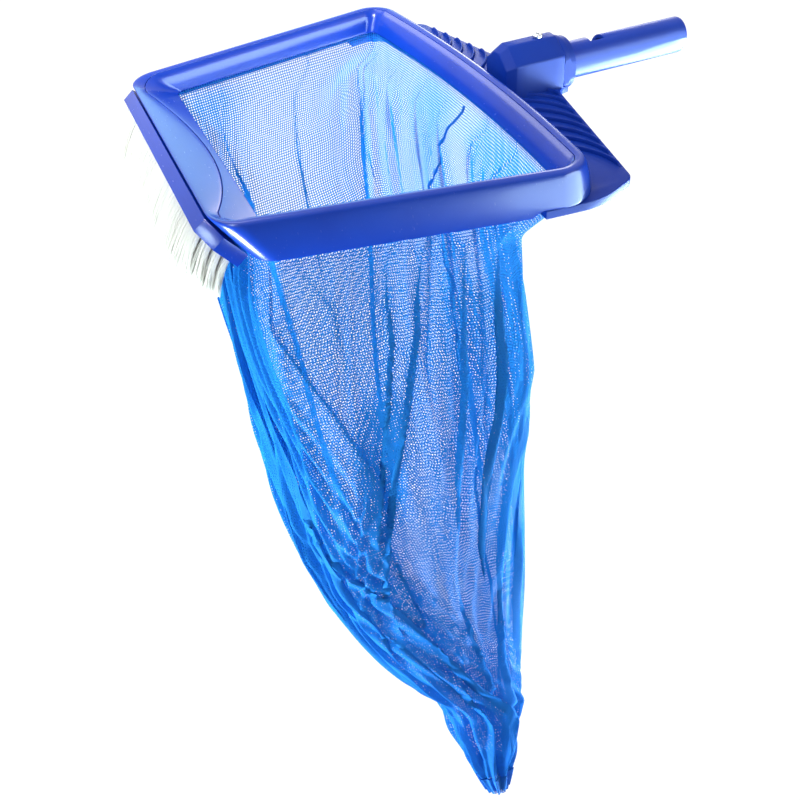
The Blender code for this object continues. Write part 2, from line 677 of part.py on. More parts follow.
def profile(points, t):
    """Reads a curve through (t, value) points, half eased and half straight between them."""
    for (t0, v0), (t1, v1) in zip(points, points[1:]):
        if t <= t1:
            share = (t - t0) / (t1 - t0)
            return v0 + (v1 - v0) * (smooth(share) + share) / 2
    return points[-1][1]


def rolled(loop):
    roll = Matrix.Rotation(HEAD_ROLL, 4, "Y")
    return [roll @ p for p in loop]


def middle(values):
    return (max(values) + min(values)) / 2, (max(values) - min(values)) / 2


def bag_loop(neck, t, inward):
    """A loop of the bag at depth t: the neck's outline, rounding off towards the toe."""
    mid_x, half_x = middle([p.x for p in neck])
    mid_y, half_y = middle([p.y for p in neck])
    front, rear = profile(BAG_FRONT, t) * MM, profile(BAG_REAR, t) * MM
    width, centre = profile(BAG_HALF_X, t) * MM, profile(BAG_MID_X, t) * MM
    settle, round_off = smooth(t / 0.12), smooth(t / 0.5)
    loop = []
    for p in neck:
        u, v = (p.x - mid_x) / half_x, (p.y - mid_y) / half_y
        a = math.atan2(v, u)
        round_u = u + (math.cos(a) - u) * round_off
        round_v = v + (math.sin(a) - v) * round_off
        x = centre + round_u * (width - inward)
        y = (front + rear) / 2 + round_v * ((rear - front) / 2 - inward)
        z = p.z + (TOE_Z + inward * 2 - p.z) * t
        held = Vector((p.x, p.y, z))
        loop.append(held.lerp(Vector((x, y, z)), settle))
    return loop


def neck_layer(layer, inward=0.0):
    """A loop of the bag's neck, moved inwards and rolled with the head."""
    return rolled(mm_layer(*[(inset + inward / MM, depth) for inset, depth in layer]))


def bag_skin(inward):
    """One side of the bag's cloth: straight down past the rim, then hanging to the toe."""
    edge, neck = (neck_layer(layer, inward) for layer in (BAG_EDGE, BAG_NECK))
    return [edge] + [bag_loop(neck, t, inward) for t in BAG_STEPS]


def mesh_bag(mat, whole):
    """The bag as one thin-walled sack, open at the rim."""
    loops = bag_skin(0) + list(reversed(bag_skin(BAG_WALL)))
    around, n = len(loops[0]), len(loops) // 2
    faces = stack_faces(2 * n, around, True, False)
    start, end = (n - 1) * around, n * around
    del faces[start:end]  # the toe has a floor outside and one inside, not a wall between them
    faces.append(tuple(range(start, end)))
    faces.append(tuple(range(end, end + around)))
    points = [p for ring in loops for p in ring]
    return add_object("mesh_bag", mesh_from("mesh_bag", points, faces), mat, whole)


def band_loops(first, last, steps, low, high):
    """Sections of a tape on the bag's outside, between two of the loops' stations."""
    neck = neck_layer(BAG_NECK)
    sections = []
    for t in steps:
        near, far = bag_loop(neck, t, -low), bag_loop(neck, t, -high)
        sections.append([near[first], near[last], far[last], far[first]])
    return sections


def bag_seam(mat, whole):
    """The tape over the seam that closes the bag, down its back."""
    sections = band_loops(SEAM_STATION, SEAM_STATION + 1, BAG_STEPS[2:-2], TAPE_OFF, TAPE_TOP)
    return loft("bag_seam", sections, mat, whole)


def toe_binding(mat, whole):
    """The binding round the bag's gathered toe."""
    neck = neck_layer(BAG_NECK)
    start, end = TOE_BAND
    walls = [(start, TAPE_OFF), (end, TAPE_OFF), (end, TAPE_TOP), (start, TAPE_TOP)]
    loops = [bag_loop(neck, t, -out) for t, out in walls]
    return loft("toe_binding", loops, mat, whole, wrap=True)


# ---------------------------------------------------------------- the whole net


def build():
    clear_scene()
    whole = add_object("whole", None, None, None)
    whole.location = (0, -SHOULDER_Y, 0)
    head = add_object("head", None, None, whole)
    head.rotation_euler = (0, HEAD_ROLL, 0)
    blue = material("rim_blue", BLUE, 0.25)
    dark = material("yoke_blue", DARK_BLUE, 0.3)
    fabric = material("mesh_blue", MESH_BLUE, 0.8)
    cord = material("cord_white", WHITE, 0.8)
    bristle = material("bristle_white", WHITE, 0.7)
    steel = material("screw_steel", STEEL, 0.3, 1.0)
    outer_frame(blue, head)
    inner_ring(blue, head)
    base_ring(blue, head)
    bag_hem(fabric, head)
    hem_cord(cord, head)
    rim_screws(steel, head)
    yoke(dark, head)
    handle_tube(blue, whole)
    hub_fasteners(steel, head)
    brush_block(blue, head)
    brush_rail(blue, head)
    for k in range(BRISTLE_ROWS):
        bristle_row(k, bristle, head)
    rail_screws(steel, head)
    mesh_bag(fabric, whole)
    bag_seam(fabric, whole)
    toe_binding(fabric, whole)


build()
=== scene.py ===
"""Leaf skimmer net: its looks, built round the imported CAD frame.

Row frame, metres: origin on the handle tube's axis at the hub's rear shoulder, +Y along the
tube, +Z up. The head is rolled about the tube, so it is modelled level and turned by ROLL.
Y is drawn from a datum just outside the shoulder; SHIFT moves each piece into the row frame.
"""

import math

import bmesh
import bpy
import numpy as np
from mathutils import Matrix, Vector


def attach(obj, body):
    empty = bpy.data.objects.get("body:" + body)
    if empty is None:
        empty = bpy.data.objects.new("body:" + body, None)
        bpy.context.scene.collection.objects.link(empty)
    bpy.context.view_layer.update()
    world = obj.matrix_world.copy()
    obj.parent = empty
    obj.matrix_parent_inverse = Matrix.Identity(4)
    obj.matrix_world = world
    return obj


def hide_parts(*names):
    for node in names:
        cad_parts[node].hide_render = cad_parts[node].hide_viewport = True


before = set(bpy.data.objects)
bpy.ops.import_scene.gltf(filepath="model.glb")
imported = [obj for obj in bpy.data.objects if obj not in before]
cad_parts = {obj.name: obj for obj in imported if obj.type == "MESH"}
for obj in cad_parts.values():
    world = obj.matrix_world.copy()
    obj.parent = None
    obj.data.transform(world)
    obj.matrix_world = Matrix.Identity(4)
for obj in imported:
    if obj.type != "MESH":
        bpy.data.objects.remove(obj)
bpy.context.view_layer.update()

MM = 0.001
GAP = 0.35  # play between the brush's block and its rail
ROLL = Matrix.Rotation(math.radians(35), 4, "Y")
SHIFT = Matrix.Translation((0, 0.004, 0))
RNG = np.random.default_rng(7)

# The rim, in millimetres on the level head
RIM_TOP = 11.6
Y_BACK = -86.2
Y_FRONT = -329.2
HALF_BACK = 182.2
SIDE_SLOPE = 50 / 243
BACK_BOW = 11.6
BACK_RADIUS = 21
FRONT_RADIUS = 27
LIP_SLOPE = 0.51
LIFT_START = -133
LIFT_LONG = 7
CREASE_HALF = 105

# Tube and hub
TUBE_R = 14.25
TUBE_BORE_R = 11.2
TUBE_OUT = 105.5
TUBE_IN = 58
NOTCH_Y = 23.7
NOTCH_LONG = 13
RAMP_START = 36
RAMP_DEEP = 2.2
RAMP_TURN = math.radians(-32)
PLATE_TOP = RIM_TOP - 23.1
SKIRT_DEEP = 6
COLLAR_SIDES = 120
COLLAR_FLAT = 19.2  # half the width between the collar's flats
RIB_COUNT = 8
RIB_PITCH = 16.8
RIB_FIRST = 35
RIB_REACH = 52
RIB_HIGH = 2.6
RIB_END_IN = 1.2  # a rib stops this far inside the wing's rear edge
WING_REAR_Y = -24.5  # the wing's rear edge where the first rib ends
WING_SWEEP = 0.205  # how fast that edge runs forward on its way out

# Brush
BRUSH_ANGLE = math.radians(52)
BLOCK_HALF = 124
BLOCK_CHAMFER = 12
BLOCK_START = 2.6
BLOCK_WIDE = 33
BLOCK_OFF = 2.2
BLOCK_THICK = 10.5
RAIL_HALF = 100
SLOT_NECK = 4.4  # half widths of the block's T slot
SLOT_WIDE = 7.9
BRISTLE_ROWS = 4
BRISTLE_LONG = 34.5
BRISTLE_SWEEP = 13.8
BRISTLE_BASE = BLOCK_OFF + BLOCK_THICK - 0.5  # the strands start this far off the wall
BRISTLE_END = 16  # the strands get shorter over this length at each end of a row
STRAND_LEVELS = (0, 0.25, 0.5, 0.75, 1.0)
HEART_LEVELS = (0, 0.2, 0.4, 0.6, 0.8, 0.95)
HEART_SIDES = 16

# Bag
TOE_Z = -552
WEAVE = 0.0021  # the weave's pitch, in metres

# The camera, from a fit of the net's main sizes to the photograph: its place in metres, its lens
# in millimetres, and its angles in degrees. Azimuth runs from -Y towards +X.
CAMERA_AT = (0.6864, -0.4018, -0.1155)
CAMERA_LENS = 41.66
CAMERA_AZIMUTH = 74.402
CAMERA_ELEVATION = 8.245
CAMERA_ROLL = -16.272


def smooth(t):
    """An S-curve from 0 to 1, level at both ends."""
    t = np.clip(t, 0, 1)
    return t * t * (3 - 2 * t)


# ---------------------------------------------------------------- nodes


def node(tree, kind, inputs=None, **settings):
    """A shader node. Each input is a number, a colour or the output of another node."""
    made = tree.nodes.new(kind)
    for key, value in settings.items():
        setattr(made, key, value)
    for key, value in (inputs or {}).items():
        socket = made.inputs[key]
        if isinstance(value, bpy.types.NodeSocket):
            tree.links.new(value, socket)
        else:
            socket.default_value = value
    return made


def new_material(name):
    """A material with an empty node tree, and that tree."""
    mat = bpy.data.materials.new(name)
    mat.use_nodes = True
    mat.node_tree.nodes.clear()
    return mat, mat.node_tree


def ramp(tree, factor, low, high, a, b):
    """Maps factor from low-high onto a-b, clamped."""
    inputs = {"Value": factor, "From Min": low, "From Max": high, "To Min": a, "To Max": b}
    return node(tree, "ShaderNodeMapRange", inputs, interpolation_type="SMOOTHSTEP").outputs[0]


def mix_colour(tree, factor, a, b):
    """A blend from colour a to colour b."""
    made = node(tree, "ShaderNodeMix", data_type="RGBA")
    for key, value in ((0, factor), (6, a), (7, b)):
        if isinstance(value, bpy.types.NodeSocket):
            tree.links.new(value, made.inputs[key])
        elif key == 0:
            made.inputs[key].default_value = value
        else:
            made.inputs[key].default_value = (*value, 1)
    return made.outputs[2]


def noise(tree, place, scale, detail=3, rough=0.5):
    """Cloudy noise between 0 and 1."""
    inputs = {"Vector": place, "Scale": scale, "Detail": detail, "Roughness": rough}
    return node(tree, "ShaderNodeTexNoise", inputs).outputs["Fac"]


def plastic(name, colour, deep, rough, grain=0.02, coat=0.25, shine=0.35):
    """Moulded plastic: slow changes of tone, uneven gloss, fine grain and a few scuffs."""
    mat, tree = new_material(name)
    place = node(tree, "ShaderNodeTexCoord").outputs["Object"]
    flow = noise(tree, place, 14, 4, 0.6)
    fine = noise(tree, place, 260, 5, 0.65)
    stretched = node(tree, "ShaderNodeMapping", {"Vector": place, "Scale": (60, 900, 300)})
    scuff = noise(tree, stretched.outputs[0], 1.0, 2, 0.4)
    tone = mix_colour(tree, ramp(tree, flow, 0.3, 0.7, 0, 1), deep, colour)
    dull = ramp(tree, fine, 0.35, 0.75, rough * 0.95, rough * 1.08)
    worn = ramp(tree, scuff, 0.6, 0.8, 0, 0.03)
    uneven = node(tree, "ShaderNodeMath", {0: dull, 1: worn}, operation="ADD").outputs[0]
    bump_in = {"Strength": grain, "Distance": 0.0006, "Height": fine}
    bump = node(tree, "ShaderNodeBump", bump_in).outputs[0]
    shader = node(tree, "ShaderNodeBsdfPrincipled", {
        "Base Color": tone, "Roughness": uneven, "Normal": bump,
        "Coat Weight": coat, "Coat Roughness": 0.1, "Specular IOR Level": shine,
    })
    node(tree, "ShaderNodeOutputMaterial", {"Surface": shader.outputs[0]})
    return mat


def steel(name):
    """Turned steel with fine tool marks."""
    mat, tree = new_material(name)
    place = node(tree, "ShaderNodeTexCoord").outputs["Object"]
    turned = noise(tree, place, 1800, 3)
    tone = mix_colour(tree, turned, (0.5, 0.5, 0.52), (0.8, 0.8, 0.82))
    rough = ramp(tree, turned, 0.3, 0.7, 0.18, 0.38)
    bump_in = {"Strength": 0.1, "Distance": 0.0001, "Height": turned}
    bump = node(tree, "ShaderNodeBump", bump_in).outputs[0]
    shader = node(tree, "ShaderNodeBsdfPrincipled", {
        "Base Color": tone, "Roughness": rough, "Metallic": 1.0, "Normal": bump,
    })
    node(tree, "ShaderNodeOutputMaterial", {"Surface": shader.outputs[0]})
    return mat


def bristle_fibre(name):
    """Nylon fibre, each strand its own slightly different white."""
    mat, tree = new_material(name)
    place = node(tree, "ShaderNodeTexCoord").outputs["Object"]
    per_strand = node(tree, "ShaderNodeAttribute", attribute_name="strand").outputs["Fac"]
    along = noise(tree, place, 900, 2)
    tone = mix_colour(tree, per_strand, (0.86, 0.855, 0.82), (0.82, 0.81, 0.775))
    tone = mix_colour(tree, ramp(tree, along, 0.4, 0.7, 0, 0.25), tone, (0.87, 0.865, 0.84))
    front = node(tree, "ShaderNodeBsdfPrincipled", {
        "Base Color": tone, "Roughness": ramp(tree, along, 0.3, 0.7, 0.35, 0.55),
    })
    through = node(tree, "ShaderNodeBsdfTranslucent", {"Color": tone})
    fibre = node(tree, "ShaderNodeMixShader", {0: 0.5, 1: front.outputs[0], 2: through.outputs[0]})
    node(tree, "ShaderNodeOutputMaterial", {"Surface": fibre.outputs[0]})
    return mat


def woven_tape(name):
    """Dense woven tape: fine cross ribs and a slightly uneven dye."""
    mat, tree = new_material(name)
    place = node(tree, "ShaderNodeTexCoord").outputs["Object"]
    dye = noise(tree, place, 60, 3)
    ribs = node(tree, "ShaderNodeTexWave", {"Vector": place, "Scale": 420.0, "Distortion": 1.5},
                bands_direction="Z").outputs["Fac"]
    tone = mix_colour(tree, dye, (0.004, 0.07, 0.34), (0.005, 0.11, 0.45))
    bump_in = {"Strength": 0.4, "Distance": 0.0002, "Height": ribs}
    bump = node(tree, "ShaderNodeBump", bump_in).outputs[0]
    shader = node(tree, "ShaderNodeBsdfPrincipled", {
        "Base Color": tone, "Roughness": ramp(tree, ribs, 0, 1, 0.6, 0.8), "Normal": bump,
        "Specular IOR Level": 0.1,
    })
    node(tree, "ShaderNodeOutputMaterial", {"Surface": shader.outputs[0]})
    return mat


def net_cloth(name, open_half=0.34, pitch=WEAVE):
    """Woven net: open cells between round threads, laid out on the cloth's own UV map.

    Where the cloth is gathered its layers lie on each other, so the cells close.
    """
    mat, tree = new_material(name)
    uv = node(tree, "ShaderNodeUVMap", uv_map="cloth").outputs[0]
    place = node(tree, "ShaderNodeTexCoord").outputs["Object"]
    wobble = node(tree, "ShaderNodeTexNoise", {"Vector": uv, "Scale": 60.0, "Detail": 2.0})
    shift = node(tree, "ShaderNodeVectorMath", {0: wobble.outputs["Color"], 1: (0.5, 0.5, 0.5)},
                 operation="SUBTRACT").outputs[0]
    shift = node(tree, "ShaderNodeVectorMath", {0: shift, "Scale": 0.0016}, operation="SCALE")
    laid = node(tree, "ShaderNodeVectorMath", {0: uv, 1: shift.outputs[0]}, operation="ADD")
    cells = node(tree, "ShaderNodeVectorMath", {0: laid.outputs[0], "Scale": 1 / pitch},
                 operation="SCALE").outputs[0]
    cell = node(tree, "ShaderNodeVectorMath", {0: cells}, operation="FRACTION").outputs[0]
    centred = node(tree, "ShaderNodeVectorMath", {0: cell, 1: (0.5, 0.5, 0.5)},
                   operation="SUBTRACT").outputs[0]
    away = node(tree, "ShaderNodeVectorMath", {0: centred}, operation="ABSOLUTE").outputs[0]
    split = node(tree, "ShaderNodeSeparateXYZ", {0: away})
    furthest = node(tree, "ShaderNodeMath", {0: split.outputs[0], 1: split.outputs[1]},
                    operation="MAXIMUM").outputs[0]
    gathered_in = node(tree, "ShaderNodeAttribute", attribute_name="dense").outputs["Fac"]
    drawn = node(tree, "ShaderNodeMapping", {"Vector": uv, "Scale": (170, 9, 1)}).outputs[0]
    streak = ramp(tree, noise(tree, drawn, 1.0, 3), 0.3, 0.7, 0.5, 1.15)
    closed = node(tree, "ShaderNodeMath", {0: gathered_in, 1: streak}, operation="MULTIPLY",
                  use_clamp=True).outputs[0]
    edge = [
        node(tree, "ShaderNodeMath", {0: closed, 1: -0.74 * open_half, 2: open_half + by},
             operation="MULTIPLY_ADD").outputs[0]
        for by in (-0.04, 0.04)
    ]
    thread = ramp(tree, furthest, edge[0], edge[1], 0, 1)
    # Painted shade: the threads are coloured darker towards the bottom of the bag, from the high tone
    # above to the low tone below.
    depth = node(tree, "ShaderNodeSeparateXYZ", {0: place}).outputs[2]
    patch = noise(tree, place, 26, 3)
    low = mix_colour(tree, patch, (0.010, 0.115, 0.42), (0.012, 0.145, 0.50))
    high = mix_colour(tree, patch, (0.012, 0.165, 0.50), (0.015, 0.205, 0.58))
    tone = mix_colour(tree, ramp(tree, depth, -0.50, -0.18, 0, 1), low, high)
    front = node(tree, "ShaderNodeBsdfPrincipled", {
        "Base Color": tone, "Roughness": ramp(tree, patch, 0.3, 0.7, 0.6, 0.8),
        "Specular IOR Level": 0.03,
    })
    back = node(tree, "ShaderNodeBsdfTranslucent", {"Color": tone})
    fibre = node(tree, "ShaderNodeMixShader", {0: 0.35, 1: front.outputs[0], 2: back.outputs[0]})
    hole = node(tree, "ShaderNodeBsdfTransparent")
    net = node(tree, "ShaderNodeMixShader", {0: thread, 1: hole.outputs[0], 2: fibre.outputs[0]})
    node(tree, "ShaderNodeOutputMaterial", {"Surface": net.outputs[0]})
    return mat


# ---------------------------------------------------------------- meshes


def make(name, points, faces, mat, body, stands_for=(), head=False, sharp=40):
    """A smooth-shaded piece in millimetres, creased where faces turn more than sharp degrees."""
    mesh = bpy.data.meshes.new(name)
    mesh.from_pydata((np.asarray(points, float) * MM).tolist(), [], faces)
    bm = bmesh.new()
    bm.from_mesh(mesh)
    bmesh.ops.recalc_face_normals(bm, faces=bm.faces)
    bm.to_mesh(mesh)
    bm.free()
    mesh.transform(SHIFT @ ROLL if head else SHIFT)
    obj = bpy.data.objects.new(name, mesh)
    bpy.context.scene.collection.objects.link(obj)
    return finish_piece(obj, mat, body, stands_for, sharp)


def crease(mesh, sharp):
    """Smooth shading, split where two faces turn by more than sharp degrees."""
    bm = bmesh.new()
    bm.from_mesh(mesh)
    limit = math.radians(sharp)
    for face in bm.faces:
        face.smooth = True
    for edge in bm.edges:
        if len(edge.link_faces) == 2:
            edge.smooth = edge.calc_face_angle(0) < limit
    bm.to_mesh(mesh)
    bm.free()


def finish_piece(obj, mat, body, stands_for=(), sharp=40):
    """Creases and paints a piece, and states its body and the nodes it replaces."""
    crease(obj.data, sharp)
    obj.data.materials.clear()
    obj.data.materials.append(mat)
    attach(obj, body)
    if stands_for:
        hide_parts(*stands_for)
    return obj


def stack_faces(count, around, wrap=False):
    """Faces that join rings of points in turn, capped at the ends or wrapped back to the start."""
    faces = []
    for k in range(count if wrap else count - 1):
        a, b = k * around, ((k + 1) % count) * around
        for j in range(around):
            n = (j + 1) % around
            faces.append((a + j, a + n, b + n, b + j))
    if not wrap:
        faces.append(tuple(reversed(range(around))))
        faces.append(tuple(range((count - 1) * around, count * around)))
    return faces


def joined(parts):
    """Several (points, faces) as one."""
    points, faces = [], []
    for some, its_faces in parts:
        base = len(points)
        points += [tuple(p) for p in some]
        faces += [tuple(base + i for i in f) for f in its_faces]
    return points, faces


def round_corners(points, radius, steps=4):
    """A closed run of points with each corner rounded; radius is one number or one a corner."""
    points = np.asarray(points, float)
    out = []
    for i, p in enumerate(points):
        a, b = points[i - 1], points[(i + 1) % len(points)]
        r = radius[i] if hasattr(radius, "__len__") else radius
        start = p + (a - p) * min(0.46, r / max(np.linalg.norm((a - p)[:2]), 1e-6))
        end = p + (b - p) * min(0.46, r / max(np.linalg.norm((b - p)[:2]), 1e-6))
        for k in range(steps + 1):
            t = k / steps
            out.append(start * (1 - t) ** 2 + p * 2 * t * (1 - t) + end * t * t)
    return np.array(out)


# ---------------------------------------------------------------- the rim's outline


def side_x(y, inset):
    """The right side's X at y, moved in by inset."""
    return HALF_BACK - (Y_BACK - y) * SIDE_SLOPE - inset * math.hypot(1, SIDE_SLOPE)


def fillet(a, b, c, radius, steps):
    """Points of the arc that rounds the corner at b between a and c."""
    u, v = (a - b).normalized(), (c - b).normalized()
    half = u.angle(v) / 2
    centre = b + (u + v).normalized() * radius / math.sin(half)
    first = b + u * radius / math.tan(half) - centre
    last = b + v * radius / math.tan(half) - centre
    sweep = math.atan2(first.x * last.y - first.y * last.x, first.dot(last))
    return [centre + Matrix.Rotation(sweep * k / steps, 2) @ first for k in range(steps + 1)]


RIM_STEPS = (16, 20, 26, 20, 40)  # back, back corner, side, front corner, front


def half_outline(side, back, front, steps=RIM_STEPS):
    """Half the rim's outline, mid back to mid front, with each point's (back, side, front) share."""
    a = Vector((0, Y_BACK - back))
    b = Vector((side_x(Y_BACK - back, side), Y_BACK - back))
    c = Vector((side_x(Y_FRONT + front, side), Y_FRONT + front))
    d = Vector((0, Y_FRONT + front))
    n_back, n_arc, n_side, n_arc2, n_front = steps
    back_arc = fillet(a, b, c, max(BACK_RADIUS - (side + back) / 2, 6), n_arc)
    front_arc = fillet(b, c, d, max(FRONT_RADIUS - (side + front) / 2, 6), n_arc2)
    out = [(a.lerp(back_arc[0], k / n_back), (1, 0, 0)) for k in range(n_back)]
    out += [(p, (1 - k / n_arc, k / n_arc, 0)) for k, p in enumerate(back_arc)]
    out += [(back_arc[-1].lerp(front_arc[0], k / n_side), (0, 1, 0)) for k in range(1, n_side)]
    out += [(p, (0, 1 - k / n_arc2, k / n_arc2)) for k, p in enumerate(front_arc)]
    out += [(front_arc[-1].lerp(d, k / n_front), (0, 0, 1)) for k in range(1, n_front + 1)]
    return out


def bow(x):
    """How far the back rail bows out at x."""
    return BACK_BOW * max(0.0, 1 - (x / HALF_BACK) ** 2)


def ring_loop(values, lift=False, steps=RIM_STEPS):
    """One loop round the rim: values are inset and depth at side, back and front, then the arc."""
    s_in, s_deep, b_in, b_deep, f_in, f_deep, arc = values
    right = []
    for p, (wb, _, wf) in half_outline(s_in, b_in, f_in, steps):
        arc_in = arc * wf * max(0.0, 1 - (p.x / CREASE_HALF) ** 2)
        y = p.y + wb * bow(p.x) + arc_in
        t = float(smooth((p.y - LIFT_START) / LIFT_LONG)) if lift else wb
        drop = (1 - wf) * (s_deep + (b_deep - s_deep) * t) + wf * f_deep
        right.append((p.x, y, RIM_TOP - drop - arc_in * LIP_SLOPE))
    left = [(-x, y, z) for x, y, z in reversed(right[1:-1])]
    return np.array(right + left)


def ring_piece(name, shape, radii, mat, stands_for, lift_ends=()):
    """A piece all round the rim, from its section's corners. Corners in lift_ends rise at the back."""
    lifted = np.zeros((len(shape), 1))
    for k in lift_ends:
        lifted[k] = 1
    corners = round_corners(np.hstack([np.array(shape, float), lifted]), radii)
    loops = []
    for values in corners:
        plain = ring_loop(values[:7])
        raised = ring_loop(values[:7], lift=True)
        loops.append(plain + (raised - plain) * values[7])
    points = np.vstack(loops)
    faces = stack_faces(len(loops), len(loops[0]), wrap=True)
    return make(name, points, faces, mat, "net_head", stands_for, head=True, sharp=50)


def section(*rows):
    """Rows of (side inset, depth), (back ...), (front ...) and an arc, as flat lists."""
    return [(*side, *back, *front, arc) for side, back, front, arc in rows]


OUTER = section(
    ((-4.2, 27.3), (-4.2, 22.7), (21.0, 27.3), 0),
    ((-3.4, 17.5), (-3.4, 16.0), (12.3, 15.8), 0),
    ((-0.9, 7.0), (-0.9, 7.0), (4.0, 5.2), 0),
    ((1.6, 1.4), (1.6, 1.4), (0.6, 0.8), 0),
    ((5.0, 0.0), (5.0, 0.0), (1.6, 0.4), 0),
    ((8.6, 0.8), (8.6, 0.8), (9.7, 5.2), 21),
    ((8.6, 3.8), (8.6, 3.8), (9.7, 8.2), 21),
    ((5.0, 3.2), (5.0, 3.2), (9.1, 7.9), 0.2),
    ((2.4, 7.0), (2.4, 7.0), (11.2, 10.4), 0),
    ((-1.2, 27.3), (-1.2, 22.7), (24.2, 27.3), 0),
)
OUTER_RADII = (0.9, 5, 5, 2.6, 2.2, 0.45, 0.4, 1, 2, 0.9)
INNER = section(
    ((9.0, 0.9), (9.0, 0.9), (10.1, 5.4), 21),
    ((12.0, 4.5), (12.6, 4.0), (18.8, 9.8), 14),
    ((14.0, 10.5), (16.6, 10.0), (27.6, 14.3), 7),
    ((15.2, 18.5), (20.0, 18.5), (36.3, 18.7), 0),
    ((12.5, 18.5), (17.3, 18.5), (34.6, 21.4), 0),
    ((11.3, 10.5), (13.6, 11.0), (26.6, 17.2), 7),
    ((10.2, 6.6), (10.4, 6.6), (18.3, 13.0), 14),
    ((9.0, 3.9), (9.0, 3.9), (10.1, 8.8), 21),
)
INNER_RADII = (0.5, 3, 4, 1.2, 0.8, 2, 1.5, 0.5)


# ---------------------------------------------------------------- yoke, hub and tube


def plate_outline():
    """The yoke plate's outline, rear edge first on the right, ending under the back rail."""
    hub_side = Vector((18.0, -9.5))
    hub_corner = Vector((19.5, -20.5))
    tip_rear = Vector((167.5, -51))
    tip_side = Vector((183, -84))
    side_end = Vector((179, -124))
    half = [hub_side]
    half += fillet(hub_side, hub_corner, tip_rear, 14, 14)
    rear_end = fillet(hub_corner, tip_rear, tip_side, 11, 10)
    run = half[-1]
    half += [run.lerp(rear_end[0], k / 12) for k in range(1, 12)]
    half += rear_end
    half += fillet(tip_rear, tip_side, side_end, 52, 12)
    half.append(side_end)
    inner = ring_loop((10, 0, 10, 0, 10, 0, 0), steps=(16, 10, 14, 10, 10))
    under = [Vector(p[:2]) for p in inner[: len(inner) // 2] if p[1] > side_end.y and p[0] > 1]
    half += list(reversed(under))
    left = [Vector((-p.x, p.y)) for p in reversed(half)]
    return np.array([tuple(p) for p in half + left])


def grown(outline, by):
    """The outline moved outwards by a distance, along each corner's mean normal."""
    ahead = np.roll(outline, -1, 0) - outline
    ahead /= np.maximum(np.linalg.norm(ahead, axis=1, keepdims=True), 1e-9)
    behind = np.roll(ahead, 1, 0)
    normal = np.stack([ahead[:, 1] + behind[:, 1], -ahead[:, 0] - behind[:, 0]], 1)
    length = np.maximum(np.linalg.norm(normal, axis=1, keepdims=True), 0.6)
    normal = normal / length
    area = np.sum(outline[:, 0] * np.roll(outline[:, 1], -1) - outline[:, 1] * np.roll(outline[:, 0], -1))
    return outline + normal * by * (1 if area > 0 else -1)


def plate_shell():
    """The yoke's plate: a thin top, with a skirt turned down round its edge."""
    outline = plate_outline()
    top, low = PLATE_TOP, PLATE_TOP - SKIRT_DEEP
    layers = [
        (-4.2, top - 3.0), (-4.0, low + 0.3), (-3.6, low), (-0.4, low), (-0.1, low + 0.3),
        (0.0, low + 0.8), (0.0, top - 0.9), (-0.12, top - 0.4), (-0.4, top - 0.12), (-0.9, top),
    ]
    loops = [np.column_stack([grown(outline, by), np.full(len(outline), z)]) for by, z in layers]
    return np.vstack(loops), stack_faces(len(loops), len(outline))


def rib_shell(k, side):
    """A raised rib from the back rail to the wing's rear edge, round on top."""
    x1 = RIB_FIRST + k * RIB_PITCH
    end = Vector((x1, WING_REAR_Y - (x1 - RIB_FIRST) * WING_SWEEP - RIB_END_IN))
    x0 = max(x1 - RIB_REACH, 8)
    start = Vector((x0, Y_BACK + bow(x0) + 1.5))
    bend = Vector((x1 - 30, end.y + 2))
    steps = 28
    line = []
    for i in range(steps + 1):
        t = i / steps
        line.append(start * (1 - t) ** 2 + bend * 2 * t * (1 - t) + end * t ** 2)
    loops = []
    for i, p in enumerate(line):
        along = (line[min(i + 1, steps)] - line[max(i - 1, 0)]).normalized()
        across = Vector((-along.y, along.x))
        high = RIB_HIGH * float(smooth((steps - i) / 2.5)) + 0.02
        corners = ((-1.5, -0.6), (-1.15, 0.25), (-0.8, 0.75), (-0.55, 0.93), (0, 1.0),
                   (0.55, 0.93), (0.8, 0.75), (1.15, 0.25), (1.5, -0.6))
        ring = []
        for a, h in corners:
            q = p + across * a
            ring.append((side * q.x, q.y, PLATE_TOP + h * (high if h > 0 else 1)))
        loops.append(ring)
    return np.vstack(loops), stack_faces(len(loops), len(corners))


def hub_shell():
    """The eight-sided hub, drawn in towards both ends."""
    corners = ((5, 24.6), (20, 13.2), (20, -13), (13, -20.5),
               (-13, -20.5), (-20, -13), (-20, 13.2), (-5, 24.6))
    flat = round_corners(corners, 1.6, 5)
    loops = []
    for y, scale in ((-65.3, 0.76), (-65.0, 0.80), (-64.5, 0.825), (-58.0, 0.985), (-57.3, 1.0),
                     (-48, 1.0), (-36, 1.0), (-24, 1.0), (-16.5, 1.0), (-15.4, 0.985),
                     (-14.8, 0.96), (-14.5, 0.92)):
        loops.append(np.column_stack([flat[:, 0] * scale, np.full(len(flat), y), flat[:, 1] * scale]))
    return np.vstack(loops), stack_faces(len(loops), len(flat))


def collar_shell():
    """The stepped collar: round, with a flat on each side."""
    profile = ((-15.5, 14.5), (-15.5, 17.6), (-15.0, 20.4), (-14.4, 21.3), (-13.8, 21.5),
               (-9.9, 21.5), (-9.5, 21.4), (-9.0, 20.5), (-8.6, 20.3), (-5.0, 20.2),
               (-4.4, 19.9), (-4.1, 19.3), (-4, 18.8), (-4, 14.7))
    a = np.linspace(0, 2 * math.pi, COLLAR_SIDES, endpoint=False)
    loops = []
    for y, radius in profile:
        x = np.clip(radius * np.cos(a), -COLLAR_FLAT, COLLAR_FLAT)
        loops.append(np.column_stack([x, np.full(COLLAR_SIDES, y), radius * np.sin(a)]))
    return np.vstack(loops), stack_faces(len(loops), COLLAR_SIDES, wrap=True)


